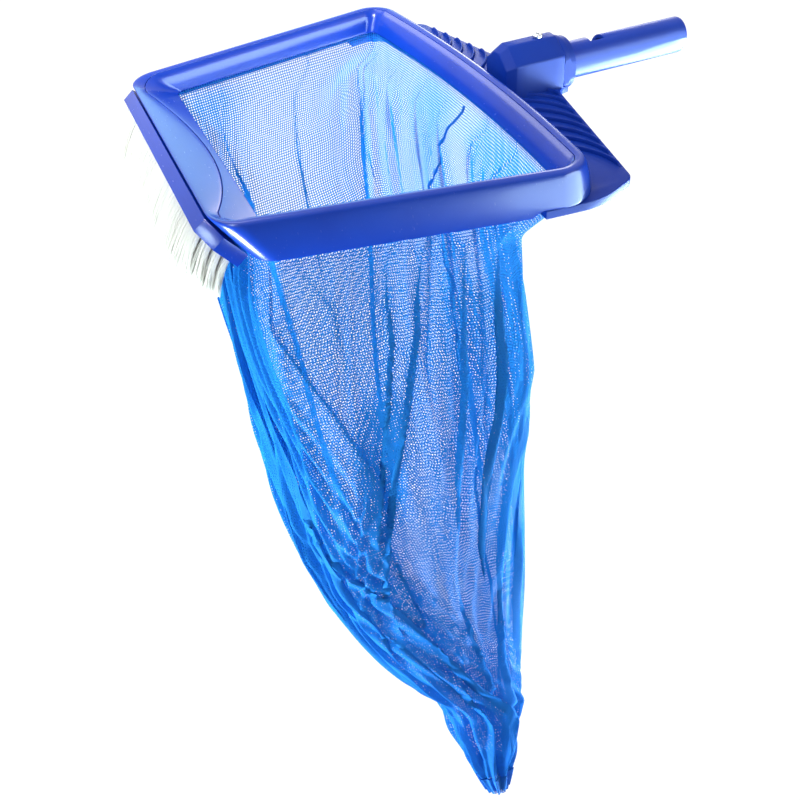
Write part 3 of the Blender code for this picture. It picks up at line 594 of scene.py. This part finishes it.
def lathe(profile, sides=96):
    """A closed ring turned round the tube's axis from (y, radius) points."""
    a = np.linspace(0, 2 * math.pi, sides, endpoint=False)
    loops = [np.column_stack([r * np.cos(a), np.full(sides, y), r * np.sin(a)]) for y, r in profile]
    return np.vstack(loops), stack_faces(len(loops), sides, wrap=True)


def plain(name, points, faces):
    """A bare object in millimetres, to cut with or to be cut."""
    mesh = bpy.data.meshes.new(name)
    mesh.from_pydata((np.asarray(points, float) * MM).tolist(), [], faces)
    bm = bmesh.new()
    bm.from_mesh(mesh)
    bmesh.ops.recalc_face_normals(bm, faces=bm.faces)
    bm.to_mesh(mesh)
    bm.free()
    obj = bpy.data.objects.new(name, mesh)
    bpy.context.scene.collection.objects.link(obj)
    return obj


def box_points(low, high):
    """A box's points and faces, from two opposite corners."""
    (x0, y0, z0), (x1, y1, z1) = low, high
    points = [(x, y, z) for x in (x0, x1) for y in (y0, y1) for z in (z0, z1)]
    faces = [(0, 1, 3, 2), (4, 6, 7, 5), (0, 4, 5, 1), (2, 3, 7, 6), (0, 2, 6, 4), (1, 5, 7, 3)]
    return points, faces


def prism(side, half):
    """A bar along X from its (y, z) outline."""
    points = [(x, y, z) for x in (-half, half) for y, z in side]
    return points, stack_faces(2, len(side))


def applied(obj):
    """Turns obj's modifiers into its mesh."""
    bpy.context.view_layer.update()
    deps = bpy.context.evaluated_depsgraph_get()
    mesh = bpy.data.meshes.new_from_object(obj.evaluated_get(deps))
    obj.modifiers.clear()
    obj.data = mesh


def soften(obj, width, segments, degrees):
    """Rounds the edges of obj that turn by more than some degrees."""
    mod = obj.modifiers.new("edge", "BEVEL")
    mod.width = width * MM
    mod.segments = segments
    mod.limit_method = "ANGLE"
    mod.angle_limit = math.radians(degrees)
    applied(obj)


def cut(obj, tools):
    """Cuts each tool out of obj, then removes the tools."""
    for tool in tools:
        mod = obj.modifiers.new(tool.name, "BOOLEAN")
        mod.object = tool
        mod.operation = "DIFFERENCE"
        mod.solver = "EXACT"
    applied(obj)
    for tool in tools:
        bpy.data.objects.remove(tool)


def build_tube(mat):
    """The bored handle tube, with its latch notch and the ramp flat at its end."""
    profile = [
        (-TUBE_IN, TUBE_BORE_R), (-TUBE_IN, 13.6), (-TUBE_IN + 0.8, TUBE_R), (0, TUBE_R),
        (60, TUBE_R), (TUBE_OUT - 3, TUBE_R - 0.1), (TUBE_OUT - 1.2, TUBE_R - 0.25),
        (TUBE_OUT - 0.35, TUBE_R - 0.6), (TUBE_OUT, TUBE_R - 1.1), (TUBE_OUT, TUBE_BORE_R + 0.5),
        (TUBE_OUT - 0.5, TUBE_BORE_R),
    ]
    points, faces = lathe(profile)
    tube = plain("handle_socket", points, faces)
    floor = RAMP_DEEP - TUBE_R
    side = [(RAMP_START, -TUBE_R), (TUBE_OUT, floor), (TUBE_OUT + 2, floor),
            (TUBE_OUT + 2, -TUBE_R - 4), (RAMP_START, -TUBE_R - 4)]
    slope = plain("ramp", *prism(side, 20))
    slope.data.transform(Matrix.Rotation(RAMP_TURN, 4, "Y"))
    front, rear = NOTCH_Y - NOTCH_LONG / 2, NOTCH_Y + NOTCH_LONG / 2
    notch = box_points((-15, front, TUBE_R - 5.8), (15, rear, TUBE_R + 6))
    cut(tube, [plain("notch", *notch), slope])
    soften(tube, 0.35, 2, 40)
    tube.data.transform(SHIFT)
    return finish_piece(tube, mat, "net_head", ["handle_tube"])


# ---------------------------------------------------------------- brush


def brush_point(x, along, out):
    """A point on the level head from the brush's own axes: along its width, out of the wall."""
    c, s = math.cos(BRUSH_ANGLE), math.sin(BRUSH_ANGLE)
    return (x, Y_FRONT + along * c - out * s, RIM_TOP - along * s - out * c)


def build_block(mat):
    """The brush's block, with cut corners, rounded edges and a slot for its rail."""
    h, c, a0, a1 = BLOCK_HALF, BLOCK_CHAMFER, BLOCK_START, BLOCK_START + BLOCK_WIDE
    outline = [(-h + c, a0), (h - c, a0), (h, a0 + c), (h, a1), (-h, a1), (-h, a0 + c)]
    outs = (BLOCK_OFF, BLOCK_OFF + BLOCK_THICK)
    points = [brush_point(x, a, o) for o in outs for x, a in outline]
    block = plain("brush_holder", points, stack_faces(2, 6))
    mid = BLOCK_START + BLOCK_WIDE / 2
    tools = []
    slot = (("neck", SLOT_NECK, -0.8, 6.2), ("wide", SLOT_WIDE, 3.8, 7.6))
    for name, half, low, high in slot:
        corners = [(mid - half, low), (mid + half, low), (mid + half, high), (mid - half, high)]
        ends = [brush_point(x, a, o) for x in (-h - 5, RAIL_HALF + GAP) for a, o in corners]
        tools.append(plain(name, ends, stack_faces(2, 4)))
    cut(block, tools)
    soften(block, 0.8, 3, 30)
    block.data.transform(SHIFT @ ROLL)
    return finish_piece(block, mat, "brush", ["brush_block"], 25)


def near_end(x, half):
    """How near x is to the end of a bristle row: 0 along its middle, 1 at the end."""
    return smooth((abs(x) - half + BRISTLE_END) / BRISTLE_END)


def strand(root, lean, length, thick, spin):
    """Rings of three points up one strand, which sweeps over as it leaves the block."""
    points = []
    for t in STRAND_LEVELS:
        x = (root[0] + lean[0] * t ** 1.5) * (1 - 0.02 * t * t)
        along = root[1] + BRISTLE_SWEEP * t ** 1.4 + lean[1] * t ** 1.5
        out = BRISTLE_BASE + length * t
        fat = thick * (1 - 0.35 * t)
        for k in range(3):
            b = spin + 2 * math.pi * k / 3
            points.append(brush_point(x + fat * math.cos(b), along + fat * math.sin(b), out))
    return points


def bristle_heart(start, half):
    """The solid middle of a row, which closes the gaps between its tufts."""
    points = []
    for t in HEART_LEVELS:
        wide = (half + 1.2 - 2.5 * t * t) * (1 - 0.02 * t * t)
        along = start + BRISTLE_SWEEP * t ** 1.4
        for k in range(HEART_SIDES):
            b = 2 * math.pi * (k + 0.5) / HEART_SIDES
            x = wide * max(-1, min(1, 1.3 * math.cos(b)))
            shorter = (7 if x > 0 else 2.5) * near_end(x, half) ** 2
            out = BRISTLE_BASE + (BRISTLE_LONG - shorter) * t
            points.append(brush_point(x, along + 2.4 * math.sin(b), out))
    return points, stack_faces(len(HEART_LEVELS), HEART_SIDES)


def build_bristle_row(mat, row, tufts=52, strands=44):
    """Tufts of nylon strands close round a solid heart; the lowered end is worn shorter."""
    pitch = (BLOCK_WIDE - 6) / BRISTLE_ROWS
    start = BLOCK_START + 3 + (row + 0.5) * pitch
    half = BLOCK_HALF - max(4, BLOCK_CHAMFER + 3 - row * pitch) - 2.5
    strand_faces = stack_faces(len(STRAND_LEVELS), 3)
    parts, tones = [], []
    for tuft in range(tufts):
        cx = -half + 2 * half * (tuft + 0.5) / tufts + RNG.normal(0, 0.25)
        tuft_tone = RNG.uniform(0, 0.2)
        lean_x, lean_a = RNG.normal(0, 0.35), RNG.normal(0, 0.35)
        shorter = (8 if cx > 0 else 3) * near_end(cx, half) ** 2
        for _ in range(strands):
            r, a = math.sqrt(RNG.uniform()), RNG.uniform(0, 2 * math.pi)
            root = (cx + 2.6 * r * math.cos(a), start + 3.1 * r * math.sin(a))
            end_x = 1.5 * r * math.cos(a) + lean_x + RNG.normal(0, 0.5)
            end_a = 1.3 * r * math.sin(a) + lean_a + RNG.normal(0, 0.5)
            length = BRISTLE_LONG - shorter + RNG.normal(0, 0.18)
            tone = min(1, max(0, tuft_tone + RNG.normal(0.1, 0.15)))
            thick = RNG.uniform(0.32, 0.48)
            spin = RNG.uniform(0, 2 * math.pi)
            parts.append((strand(root, (end_x, end_a), length, thick, spin), strand_faces))
            tones += [tone] * 3 * len(STRAND_LEVELS)
    parts.append(bristle_heart(start, half))
    tones += [0.35] * HEART_SIDES * len(HEART_LEVELS)
    points, faces = joined(parts)
    obj = make(f"bristles_{row + 1}", points, faces, mat, "brush",
               [f"bristle_row_{row + 1}"], head=True, sharp=70)
    tone_map = obj.data.attributes.new("strand", "FLOAT", "POINT")
    tone_map.data.foreach_set("value", np.array(tones, np.float32))


# ---------------------------------------------------------------- bag


BAG_FRONT = (
    (0, -293), (0.12, -312), (0.3, -323), (0.55, -323), (0.65, -308), (0.74, -283),
    (0.82, -254), (0.86, -249), (0.93, -243), (1, -234),
)
BAG_REAR = (
    (0, -104), (0.07, -112), (0.15, -116), (0.3, -124), (0.45, -136), (0.6, -152), (0.8, -184),
    (1, -220),
)
BAG_HALF_X = ((0, 134), (0.2, 122), (0.5, 92), (0.8, 50), (1, 9))
BAG_MID_X = ((0, -7), (0.5, -4), (1, 0))
BAG_STEPS_AROUND = (84, 40, 96, 40, 96)
# The bag's edge inside the rim and its neck just below it, as in the rim's sections
BAG_EDGE = (12.6, 18.9, 17.4, 18.9, 34.4, 22.0, 0)
BAG_NECK = (12.6, 25.5, 17.4, 25.5, 34.4, 28.8, 0)
# Each row's share of the way down: two rows inside the rim, then the rest, closest at the top
BAG_DEPTHS = np.concatenate([[0, 0], np.linspace(0, 1, 240) ** 1.05])


def profile_at(knots, t):
    """A smooth curve through (t, value) knots."""
    xs, ys = zip(*knots)
    xs, ys = np.array(xs, float), np.array(ys, float)
    slope = np.gradient(ys, xs)
    k = np.clip(np.searchsorted(xs, t, side="right") - 1, 0, len(xs) - 2)
    h = xs[k + 1] - xs[k]
    s = (t - xs[k]) / h
    h00, h10 = 2 * s ** 3 - 3 * s ** 2 + 1, s ** 3 - 2 * s ** 2 + s
    h01, h11 = -2 * s ** 3 + 3 * s ** 2, s ** 3 - s ** 2
    return h00 * ys[k] + h10 * h * slope[k] + h01 * ys[k + 1] + h11 * h * slope[k + 1]


def bag_grid():
    """The hanging bag as rows of points, from the rim's channel down to the toe."""
    roll = np.array(ROLL.to_3x3())
    mouth = ring_loop(BAG_EDGE, steps=BAG_STEPS_AROUND) @ roll.T
    neck = ring_loop(BAG_NECK, steps=BAG_STEPS_AROUND) @ roll.T
    rows = [mouth, mouth * 0.5 + neck * 0.5]
    lo, hi = neck.min(0), neck.max(0)
    mid, half = (lo + hi) / 2, (hi - lo) / 2
    u = (neck[:, 0] - mid[0]) / half[0]
    v = (neck[:, 1] - mid[1]) / half[1]
    angle = np.arctan2(v, u)
    rearward = smooth((v - 0.1) / 0.7)
    for t in BAG_DEPTHS[2:]:
        front, rear = profile_at(BAG_FRONT, t), profile_at(BAG_REAR, t)
        width, centre = profile_at(BAG_HALF_X, t), profile_at(BAG_MID_X, t)
        settle = smooth(t / (0.12 - 0.08 * rearward))
        round_off = np.maximum(smooth(t / 0.5), 0.5 * rearward * smooth(t / 0.05))
        ru = u + (np.cos(angle) - u) * round_off
        rv = v + (np.sin(angle) - v) * round_off
        x = centre + ru * width
        y = (front + rear) / 2 + rv * (rear - front) / 2
        z = neck[:, 2] + (TOE_Z - neck[:, 2]) * t
        held = np.column_stack([neck[:, 0], neck[:, 1], z])
        hung = np.column_stack([x, y, z])
        rows.append(held + (hung - held) * settle[:, None])
    return np.array(rows)


# Pleats where the cloth doubles over: (share round the bag, share of the way down) along each,
# its half width in mm at its start and end, and how far it laps over
PLEATS = (
    (((0.28, 0.0), (0.28, 0.15), (0.33, 0.45)), 4, 6, 1.0),
    (((0.25, 0.0), (0.26, 0.15), (0.34, 0.55)), 5, 8, 1.0),
    (((0.22, 0.0), (0.22, 0.15), (0.24, 0.4)), 4, 5, 0.9),
    (((0.19, 0.0), (0.19, 0.3), (0.21, 0.5)), 7, 10, 1.0),
    (((0.50, 0.0), (0.45, 0.2), (0.43, 0.4), (0.37, 0.6)), 9, 10, 1.0),
    (((0.53, 0.0), (0.49, 0.2), (0.45, 0.6), (0.42, 0.75)), 8, 9, 1.0),
    (((0.38, 0.05), (0.32, 0.35)), 4, 5, 0.8),
    (((0.41, 0.45), (0.34, 0.55), (0.27, 0.75), (0.20, 0.85)), 8, 9, 1.0),
    (((0.36, 0.0), (0.32, 0.1)), 4, 3, 0.8),
    (((0.32, 0.45), (0.29, 0.8)), 5, 4, 0.9),
    (((0.36, 0.6), (0.33, 0.7), (0.28, 0.85)), 6, 6, 0.9),
    (((0.25, 0.6), (0.23, 0.9)), 5, 4, 0.9),
    (((0.15, 0.35), (0.18, 0.5), (0.20, 0.7), (0.20, 0.9)), 6, 6, 0.9),
    (((0.67, 0.0), (0.69, 0.15), (0.70, 0.4), (0.69, 0.6)), 4, 6, 0.9),
    (((0.84, 0.0), (0.83, 0.15)), 4, 3, 0.8),
    (((0.83, 0.0), (0.83, 0.1), (0.78, 0.6)), 4, 7, 0.9),
    (((0.60, 0.0), (0.60, 0.1), (0.57, 0.6)), 7, 8, 1.0),
    (((0.93, 0.0), (0.92, 0.1), (0.87, 0.45)), 4, 7, 0.9),
    (((0.97, 0.0), (0.96, 0.1), (0.95, 0.3)), 4, 6, 0.9),
    (((0.04, 0.0), (0.02, 0.1), (0.99, 0.3), (0.97, 0.5)), 5, 7, 0.9),
    (((0.09, 0.0), (0.08, 0.1), (0.04, 0.6)), 5, 8, 0.9),
    (((0.13, 0.0), (0.13, 0.4), (0.15, 0.7)), 6, 9, 0.9),
    (((0.76, 0.0), (0.75, 0.25)), 3, 3, 0.6),
    (((0.88, 0.0), (0.87, 0.1)), 4, 3, 0.8),
)

# Where the cloth is gathered into fine folds: the zone's path, as above, then its half width, the
# folds' spacing and their height, all in mm, and how far the cells close there
GATHERS = (
    (((0.51, 0.0), (0.46, 0.2), (0.40, 0.6), (0.34, 0.8)), 62, 14, 3.6, 0.95),
    (((0.42, 0.42), (0.36, 0.55), (0.29, 0.7), (0.20, 0.90)), 44, 12, 3.8, 0.9),
    (((0.30, 0.24), (0.32, 0.38), (0.35, 0.5), (0.36, 0.58)), 17, 9, 3.6, 0.95),
    (((0.21, 0.1), (0.22, 0.3), (0.25, 0.55), (0.26, 0.8)), 24, 15, 2.4, 0.35),
    (((0.10, 0.0), (0.11, 0.25), (0.14, 0.5), (0.18, 0.72)), 62, 16, 2.0, 0.62),
    (((0.05, 0.0), (0.03, 0.3), (0.02, 0.6), (0.05, 0.9)), 22, 12, 2.4, 0.5),
    (((0.63, 0.0), (0.62, 0.2), (0.60, 0.6), (0.56, 0.9)), 55, 17, 3.6, 0.55),
    (((0.86, 0.0), (0.84, 0.2), (0.80, 0.5), (0.78, 0.8)), 60, 19, 2.6, 0.2),
    (((0.95, 0.0), (0.94, 0.2), (0.93, 0.6)), 35, 15, 3.2, 0.4),
)


def gathered(share, t, girth):
    """Fine folds side by side in each of the GATHERS: each point's push in mm, and its closing."""
    push, dense = np.zeros(share.shape), np.zeros(share.shape)
    for knots, half, spacing, tall, closing in GATHERS:
        first, last = knots[0][1], knots[-1][1]
        d = ((share - path_at(knots, t) + 0.5) % 1 - 0.5) * girth
        window = smooth((t - first + 0.02) / 0.12) * smooth((last + 0.1 - t) / 0.18)
        phase = RNG.uniform(0, 6)
        drift = 2.2 * np.sin(5 * t + phase) + 0.9 * np.sin(13 * t - phase)
        wave = np.sin(2 * math.pi * d / spacing + drift)
        wave = wave + 0.55 * np.sin(2 * math.pi * d / (0.63 * spacing) - 1.7 * drift + phase)
        patchy = 0.7 + 0.3 * np.sin(0.045 * d + 7 * t + 2 * phase)
        inside = np.exp(-((d / half) ** 4)) * smooth((last + 0.1 - t) / 0.18)
        push += tall * wave * patchy * inside * window
        dense = np.maximum(dense, closing * inside * smooth((t - first + 0.03) / 0.06))
    return push, dense


def path_at(knots, t):
    """The pleat's share round the bag at each depth t; its knots may pass from 0 to 1."""
    shares = np.unwrap([share for share, _ in knots], period=1)
    return np.interp(t, [depth for _, depth in knots], shares)


def bell_folds(share, t, count, tall, wide):
    """Soft random folds that run down the bag: how far each point is pushed out, in mm."""
    push = np.zeros(share.shape)
    for _ in range(count):
        at, drift = RNG.uniform(), RNG.normal(0, 0.06)
        half = RNG.uniform(*wide)
        height = RNG.uniform(*tall) * RNG.choice([-1, 1])
        top, low = RNG.uniform(-0.3, 0.45), RNG.uniform(0.4, 1.3)
        window = smooth((t - top) / 0.2) * smooth((low - t) / 0.25)
        d = (share - at - drift * t + 0.5) % 1 - 0.5
        push += height * np.exp(-((d / half) ** 2)) * window
    return push


def fold_bag(grid):
    """Presses pleats, hanging folds and the toe's gathers into the bag, and notes each closing."""
    rows, around, _ = grid.shape
    t = BAG_DEPTHS[:, None]
    ahead = np.roll(grid, -1, 1) - np.roll(grid, 1, 1)
    ahead[..., 2] = 0
    ahead /= np.maximum(np.linalg.norm(ahead, axis=2, keepdims=True), 1e-9)
    normal = np.stack([ahead[..., 1], -ahead[..., 0], np.zeros((rows, around))], 2)
    step = np.linalg.norm(np.roll(grid, -1, 1) - grid, axis=2)
    arc = np.concatenate([np.zeros((rows, 1)), np.cumsum(step, 1)[:, :-1]], 1)
    girth = step.sum(1, keepdims=True)
    share = arc / girth
    free = smooth(t / 0.16)
    push = bell_folds(share, t, 30, (2.0, 6.0), (0.010, 0.035)) * free
    fine, dense = gathered(share, t, girth)
    push += fine * smooth(t / 0.05)
    push *= np.minimum(1, girth / 600)
    slide = np.zeros((rows, around))
    for knots, wide0, wide1, lap in PLEATS:
        first, last = knots[0][1], knots[-1][1]
        wide = wide0 + (wide1 - wide0) * np.clip((t - first) / (last - first), 0, 1)
        window = smooth((t - first + 0.06) / 0.07) * smooth((last + 0.12 - t) / 0.16)
        window = window * np.minimum(1, 0.25 + 0.75 * free)
        d = ((share - path_at(knots, t) + 0.5) % 1 - 0.5) * girth
        q = np.clip(d / wide, -1, 1)
        wave = np.sin(math.pi * q) * (1 - q * q) * 1.35
        lapped = -0.75 * lap * wide * wave * window
        slide = np.where(np.abs(lapped) > np.abs(slide), lapped, slide)
        push -= (1.2 + 0.10 * wide) * wave * window
        dense = np.maximum(dense, 0.85 * np.exp(-((1.5 * d / wide) ** 4)) * window)
    gather = smooth((t - 0.72) / 0.2)
    angle = share * 2 * math.pi
    crumple = np.sin(11 * angle + 9 * t) + 0.7 * np.sin(17 * angle - 16 * t + 1)
    crumple = crumple + 0.35 * np.sin(70 * t + 3 * angle)
    push += crumple * gather * np.minimum(3.4, girth / 50)
    dense = np.maximum(dense, 0.8 * smooth((t - 0.82) / 0.12))
    return grid + normal * push[..., None] + ahead * slide[..., None], dense


def bag_uv(grid):
    """Cloth coordinates in metres: across from the grain line on the lowered side, and down."""
    rows, around, _ = grid.shape
    step = np.linalg.norm(np.roll(grid, -1, 1) - grid, axis=2)
    start = around // 4
    order = (np.arange(around) + start) % around
    arc = np.concatenate([np.zeros((rows, 1)), np.cumsum(step[:, order], 1)], 1)
    arc -= arc[:, [around // 2]]
    down = np.linalg.norm(np.diff(grid, axis=0), axis=2)
    fall = np.concatenate([np.zeros((1, around)), np.cumsum(down, 0)], 0)
    fall = fall[:, order]
    fall = np.concatenate([fall, fall[:, :1]], 1)
    return order, arc * MM, fall * MM


def build_bag(mat):
    """The folded bag, with cloth coordinates for its weave and how far each point's cells close."""
    grid, dense = fold_bag(bag_grid())
    rows, around, _ = grid.shape
    order, across, down = bag_uv(grid)
    points = grid.reshape(-1, 3)
    faces, uvs = [], []
    for r in range(rows - 1):
        for j in range(around):
            a, b = order[j], order[(j + 1) % around]
            faces.append((r * around + a, r * around + b, (r + 1) * around + b, (r + 1) * around + a))
            uvs += [(across[r, j], down[r, j]), (across[r, j + 1], down[r, j + 1]),
                    (across[r + 1, j + 1], down[r + 1, j + 1]), (across[r + 1, j], down[r + 1, j])]
    mesh = bpy.data.meshes.new("net_bag")
    mesh.from_pydata((points * MM).tolist(), [], faces)
    mesh.transform(SHIFT)
    layer = mesh.uv_layers.new(name="cloth")
    layer.data.foreach_set("uv", np.array(uvs, np.float32).ravel())
    closing = mesh.attributes.new("dense", "FLOAT", "POINT")
    closing.data.foreach_set("value", dense.astype(np.float32).ravel())
    bag = bpy.data.objects.new("net_bag", mesh)
    bpy.context.scene.collection.objects.link(bag)
    finish_piece(bag, mat, "net_head", ["mesh_bag"], 180)
    return bag, grid


# The back seam wanders: (share round the bag, share of the way down)
SEAM = ((1.0, 0.0), (0.94, 0.15), (0.93, 0.4), (0.96, 0.9))


def build_seam(mat, grid):
    """A narrow tape sewn over the bag's back seam."""
    t = BAG_DEPTHS
    sections = []
    for r in range(4, int(len(grid) * 0.9), 2):
        line = grid[r]
        step = np.linalg.norm(np.roll(line, -1, 0) - line, axis=1)
        share = np.concatenate([[0], np.cumsum(step)[:-1]]) / step.sum()
        sway = 0.004 * math.sin(26 * t[r]) + 0.002 * math.sin(71 * t[r])
        k = int(np.argmin(np.abs(share - (path_at(SEAM, t[r]) + sway) % 1)))
        along = line[(k + 1) % len(line)] - line[k - 1]
        along /= max(np.linalg.norm(along), 1e-6)
        out = np.array([along[1], -along[0], 0])
        corners = ((-1.7, 0.35), (1.7, 0.35), (1.5, 1.0), (0, 1.3), (-1.5, 1.0))
        sections.append([line[k] + along * u + out * v for u, v in corners])
    points = [p for ring in sections for p in ring]
    faces = stack_faces(len(sections), len(corners))
    make("seam_tape", points, faces, mat, "net_head", ["bag_seam"])


def build_toe_band(mat, grid):
    """The binding that closes the bag's toe."""
    rows = len(grid)
    first, last = int(rows * 0.962), int(rows * 0.99)
    middle = grid[last].mean(0)
    loops = []
    for r, off in ((first, 0.4), (last, 0.4), (last, 1.1), ((first + last) // 2, 1.5), (first, 1.1)):
        away = grid[r] - middle
        away[:, 2] = 0
        away /= np.maximum(np.linalg.norm(away, axis=1, keepdims=True), 1e-6)
        loops.append(grid[r] + away * off)
    faces = stack_faces(len(loops), len(loops[0]), wrap=True)
    make("toe_band", np.vstack(loops), faces, mat, "net_head", ["toe_binding"])


# ---------------------------------------------------------------- camera and lights


def aim(name, kind, place, target, energy, size, colour=(1, 1, 1), mirrored=False):
    """A light turned to its target. Size is a disk's width in metres or a spot's cone in degrees.

    A mirrored light only shows as a reflection, like a reflector board.
    """
    light = bpy.data.lights.new(name, kind)
    light.energy = energy
    light.color = colour
    if kind == "AREA":
        light.shape = "DISK"
        light.size = size
    else:
        light.spot_size = math.radians(size)
        light.spot_blend = 0.9
        light.shadow_soft_size = 0.1
    obj = bpy.data.objects.new(name, light)
    obj.visible_diffuse = not mirrored
    obj.visible_transmission = not mirrored
    obj.location = place
    obj.rotation_euler = (Vector(target) - Vector(place)).to_track_quat("-Z", "Y").to_euler()
    bpy.context.scene.collection.objects.link(obj)


def studio_world(tree):
    """A white surround, dimmer to the surfaces that it lights, and graded in mirror images."""
    tree.nodes.clear()
    place = node(tree, "ShaderNodeTexCoord").outputs["Generated"]
    up = node(tree, "ShaderNodeSeparateXYZ", {0: place}).outputs[2]
    path = node(tree, "ShaderNodeLightPath")
    white = (1, 1, 1, 1)
    shown = node(tree, "ShaderNodeBackground", {"Color": white, "Strength": 1.1})
    soft = ramp(tree, up, -0.7, 0.8, 0.68, 0.88)
    lit = node(tree, "ShaderNodeBackground", {"Color": white, "Strength": soft})
    level = ramp(tree, up, 0.2, 0.75, 0.04, 1.15)
    graded = node(tree, "ShaderNodeBackground", {"Color": white, "Strength": level})
    seen = node(tree, "ShaderNodeMixShader", {
        0: path.outputs["Is Camera Ray"], 1: lit.outputs[0], 2: shown.outputs[0],
    })
    both = node(tree, "ShaderNodeMixShader", {
        0: path.outputs["Is Glossy Ray"], 1: seen.outputs[0], 2: graded.outputs[0],
    })
    node(tree, "ShaderNodeOutputWorld", {"Surface": both.outputs[0]})


def camera_turn():
    """The camera's rotation, from its azimuth, elevation and roll."""
    round_z = Matrix.Rotation(math.radians(CAMERA_AZIMUTH), 4, "Z")
    tilt = Matrix.Rotation(math.radians(90 - CAMERA_ELEVATION), 4, "X")
    roll = Matrix.Rotation(math.radians(CAMERA_ROLL), 4, "Z")
    return round_z @ tilt @ roll


def set_stage():
    """The camera, the white surround and the lights."""
    scene = bpy.context.scene
    camera = bpy.data.cameras.new("camera")
    camera.lens = CAMERA_LENS
    camera.sensor_width = 36
    view = bpy.data.objects.new("camera", camera)
    view.matrix_world = Matrix.Translation(CAMERA_AT) @ camera_turn()
    scene.collection.objects.link(view)
    scene.camera = view
    scene.view_settings.view_transform = "Standard"
    world = bpy.data.worlds.new("studio")
    scene.world = world
    world.use_nodes = True
    studio_world(world.node_tree)
    aim("key", "AREA", (0.35, -0.6, 1.4), (0, -0.2, 0), 10, 1.0)
    aim("side", "AREA", (1.25, 0.85, 0.22), (0, -0.1, 0), 3.5, 0.9)
    aim("front", "AREA", (0.95, -1.4, 0.15), (0.05, -0.3, -0.1), 1.5, 0.8)
    aim("left", "AREA", (-0.25, -1.15, -0.8), (0, -0.28, -0.35), 52, 0.5, (0.8, 0.97, 1.0))
    aim("low", "AREA", (-0.15, 0.68, -0.75), (0.12, -0.1, -0.08), 64, 0.8, (0.7, 0.97, 1.0))
    aim("lip", "AREA", (-1.15, 1.05, 1.2), (0.1, -0.3, -0.05), 4.5, 0.6)
    aim("sky", "AREA", (-1.5, 0.45, 1.35), (-0.1, -0.3, 0.1), 2.8, 0.8, (0.2, 0.75, 1.0))
    aim("board", "AREA", (0.68, 0.41, -0.5), (0.146, -0.1, -0.1), 58, 1.25, (0.7, 0.95, 1.0), True)
    aim("strip", "AREA", (0.95, -1.3, 0.13), (0.09, -0.33, -0.07), 9, 0.36, (0.75, 0.95, 1.0), True)
    aim("slope", "AREA", (-0.62, -0.6, 1.35), (0.05, -0.09, 0), 2.4, 0.45)
    aim("far", "SPOT", (0.9, -0.9, 0.5), (-0.1, -0.2, 0.1), 70, 22)


# ---------------------------------------------------------------- the whole net


def build():
    """Every piece of the net, then the CAD nodes that are kept, then the stage."""
    rim = plastic("rim_plastic", (0.003, 0.042, 0.40), (0.0025, 0.034, 0.35), 0.25, 0.015, 0.12)
    yoke = plastic("yoke_plastic", (0.003, 0.032, 0.30), (0.0025, 0.024, 0.25), 0.45, 0.02, 0.0, 0.12)
    socket = plastic("socket_plastic", (0.003, 0.04, 0.38), (0.0025, 0.03, 0.31), 0.36, 0.015, 0.0, 0.2)
    cloth = net_cloth("net_cloth")
    fibre = bristle_fibre("bristle_fibre")
    metal = steel("screw_metal")
    ring_piece("rim_outer", OUTER, OUTER_RADII, rim, ["outer_frame"], (0, 9))
    ring_piece("rim_inner", INNER, INNER_RADII, rim, ["inner_ring"])
    shells = [plate_shell(), hub_shell(), collar_shell()]
    shells += [rib_shell(k, side) for side in (1, -1) for k in range(RIB_COUNT)]
    points, faces = joined(shells)
    make("ribbed_yoke", points, faces, yoke, "net_head", ["yoke"], head=True, sharp=35)
    build_tube(socket)
    build_block(rim)
    for row in range(BRISTLE_ROWS):
        build_bristle_row(fibre, row)
    bag, grid = build_bag(cloth)
    tape = woven_tape("woven_tape")
    build_seam(tape, grid)
    build_toe_band(tape, grid)
    for name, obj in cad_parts.items():
        if obj.hide_render:
            continue
        mat = metal if "screw" in name or "nut" in name else rim
        if name == "bag_hem":
            mat = cloth
        if name == "hem_cord":
            mat = fibre
        for slot in obj.material_slots:
            slot.material = mat
    set_stage()


build()
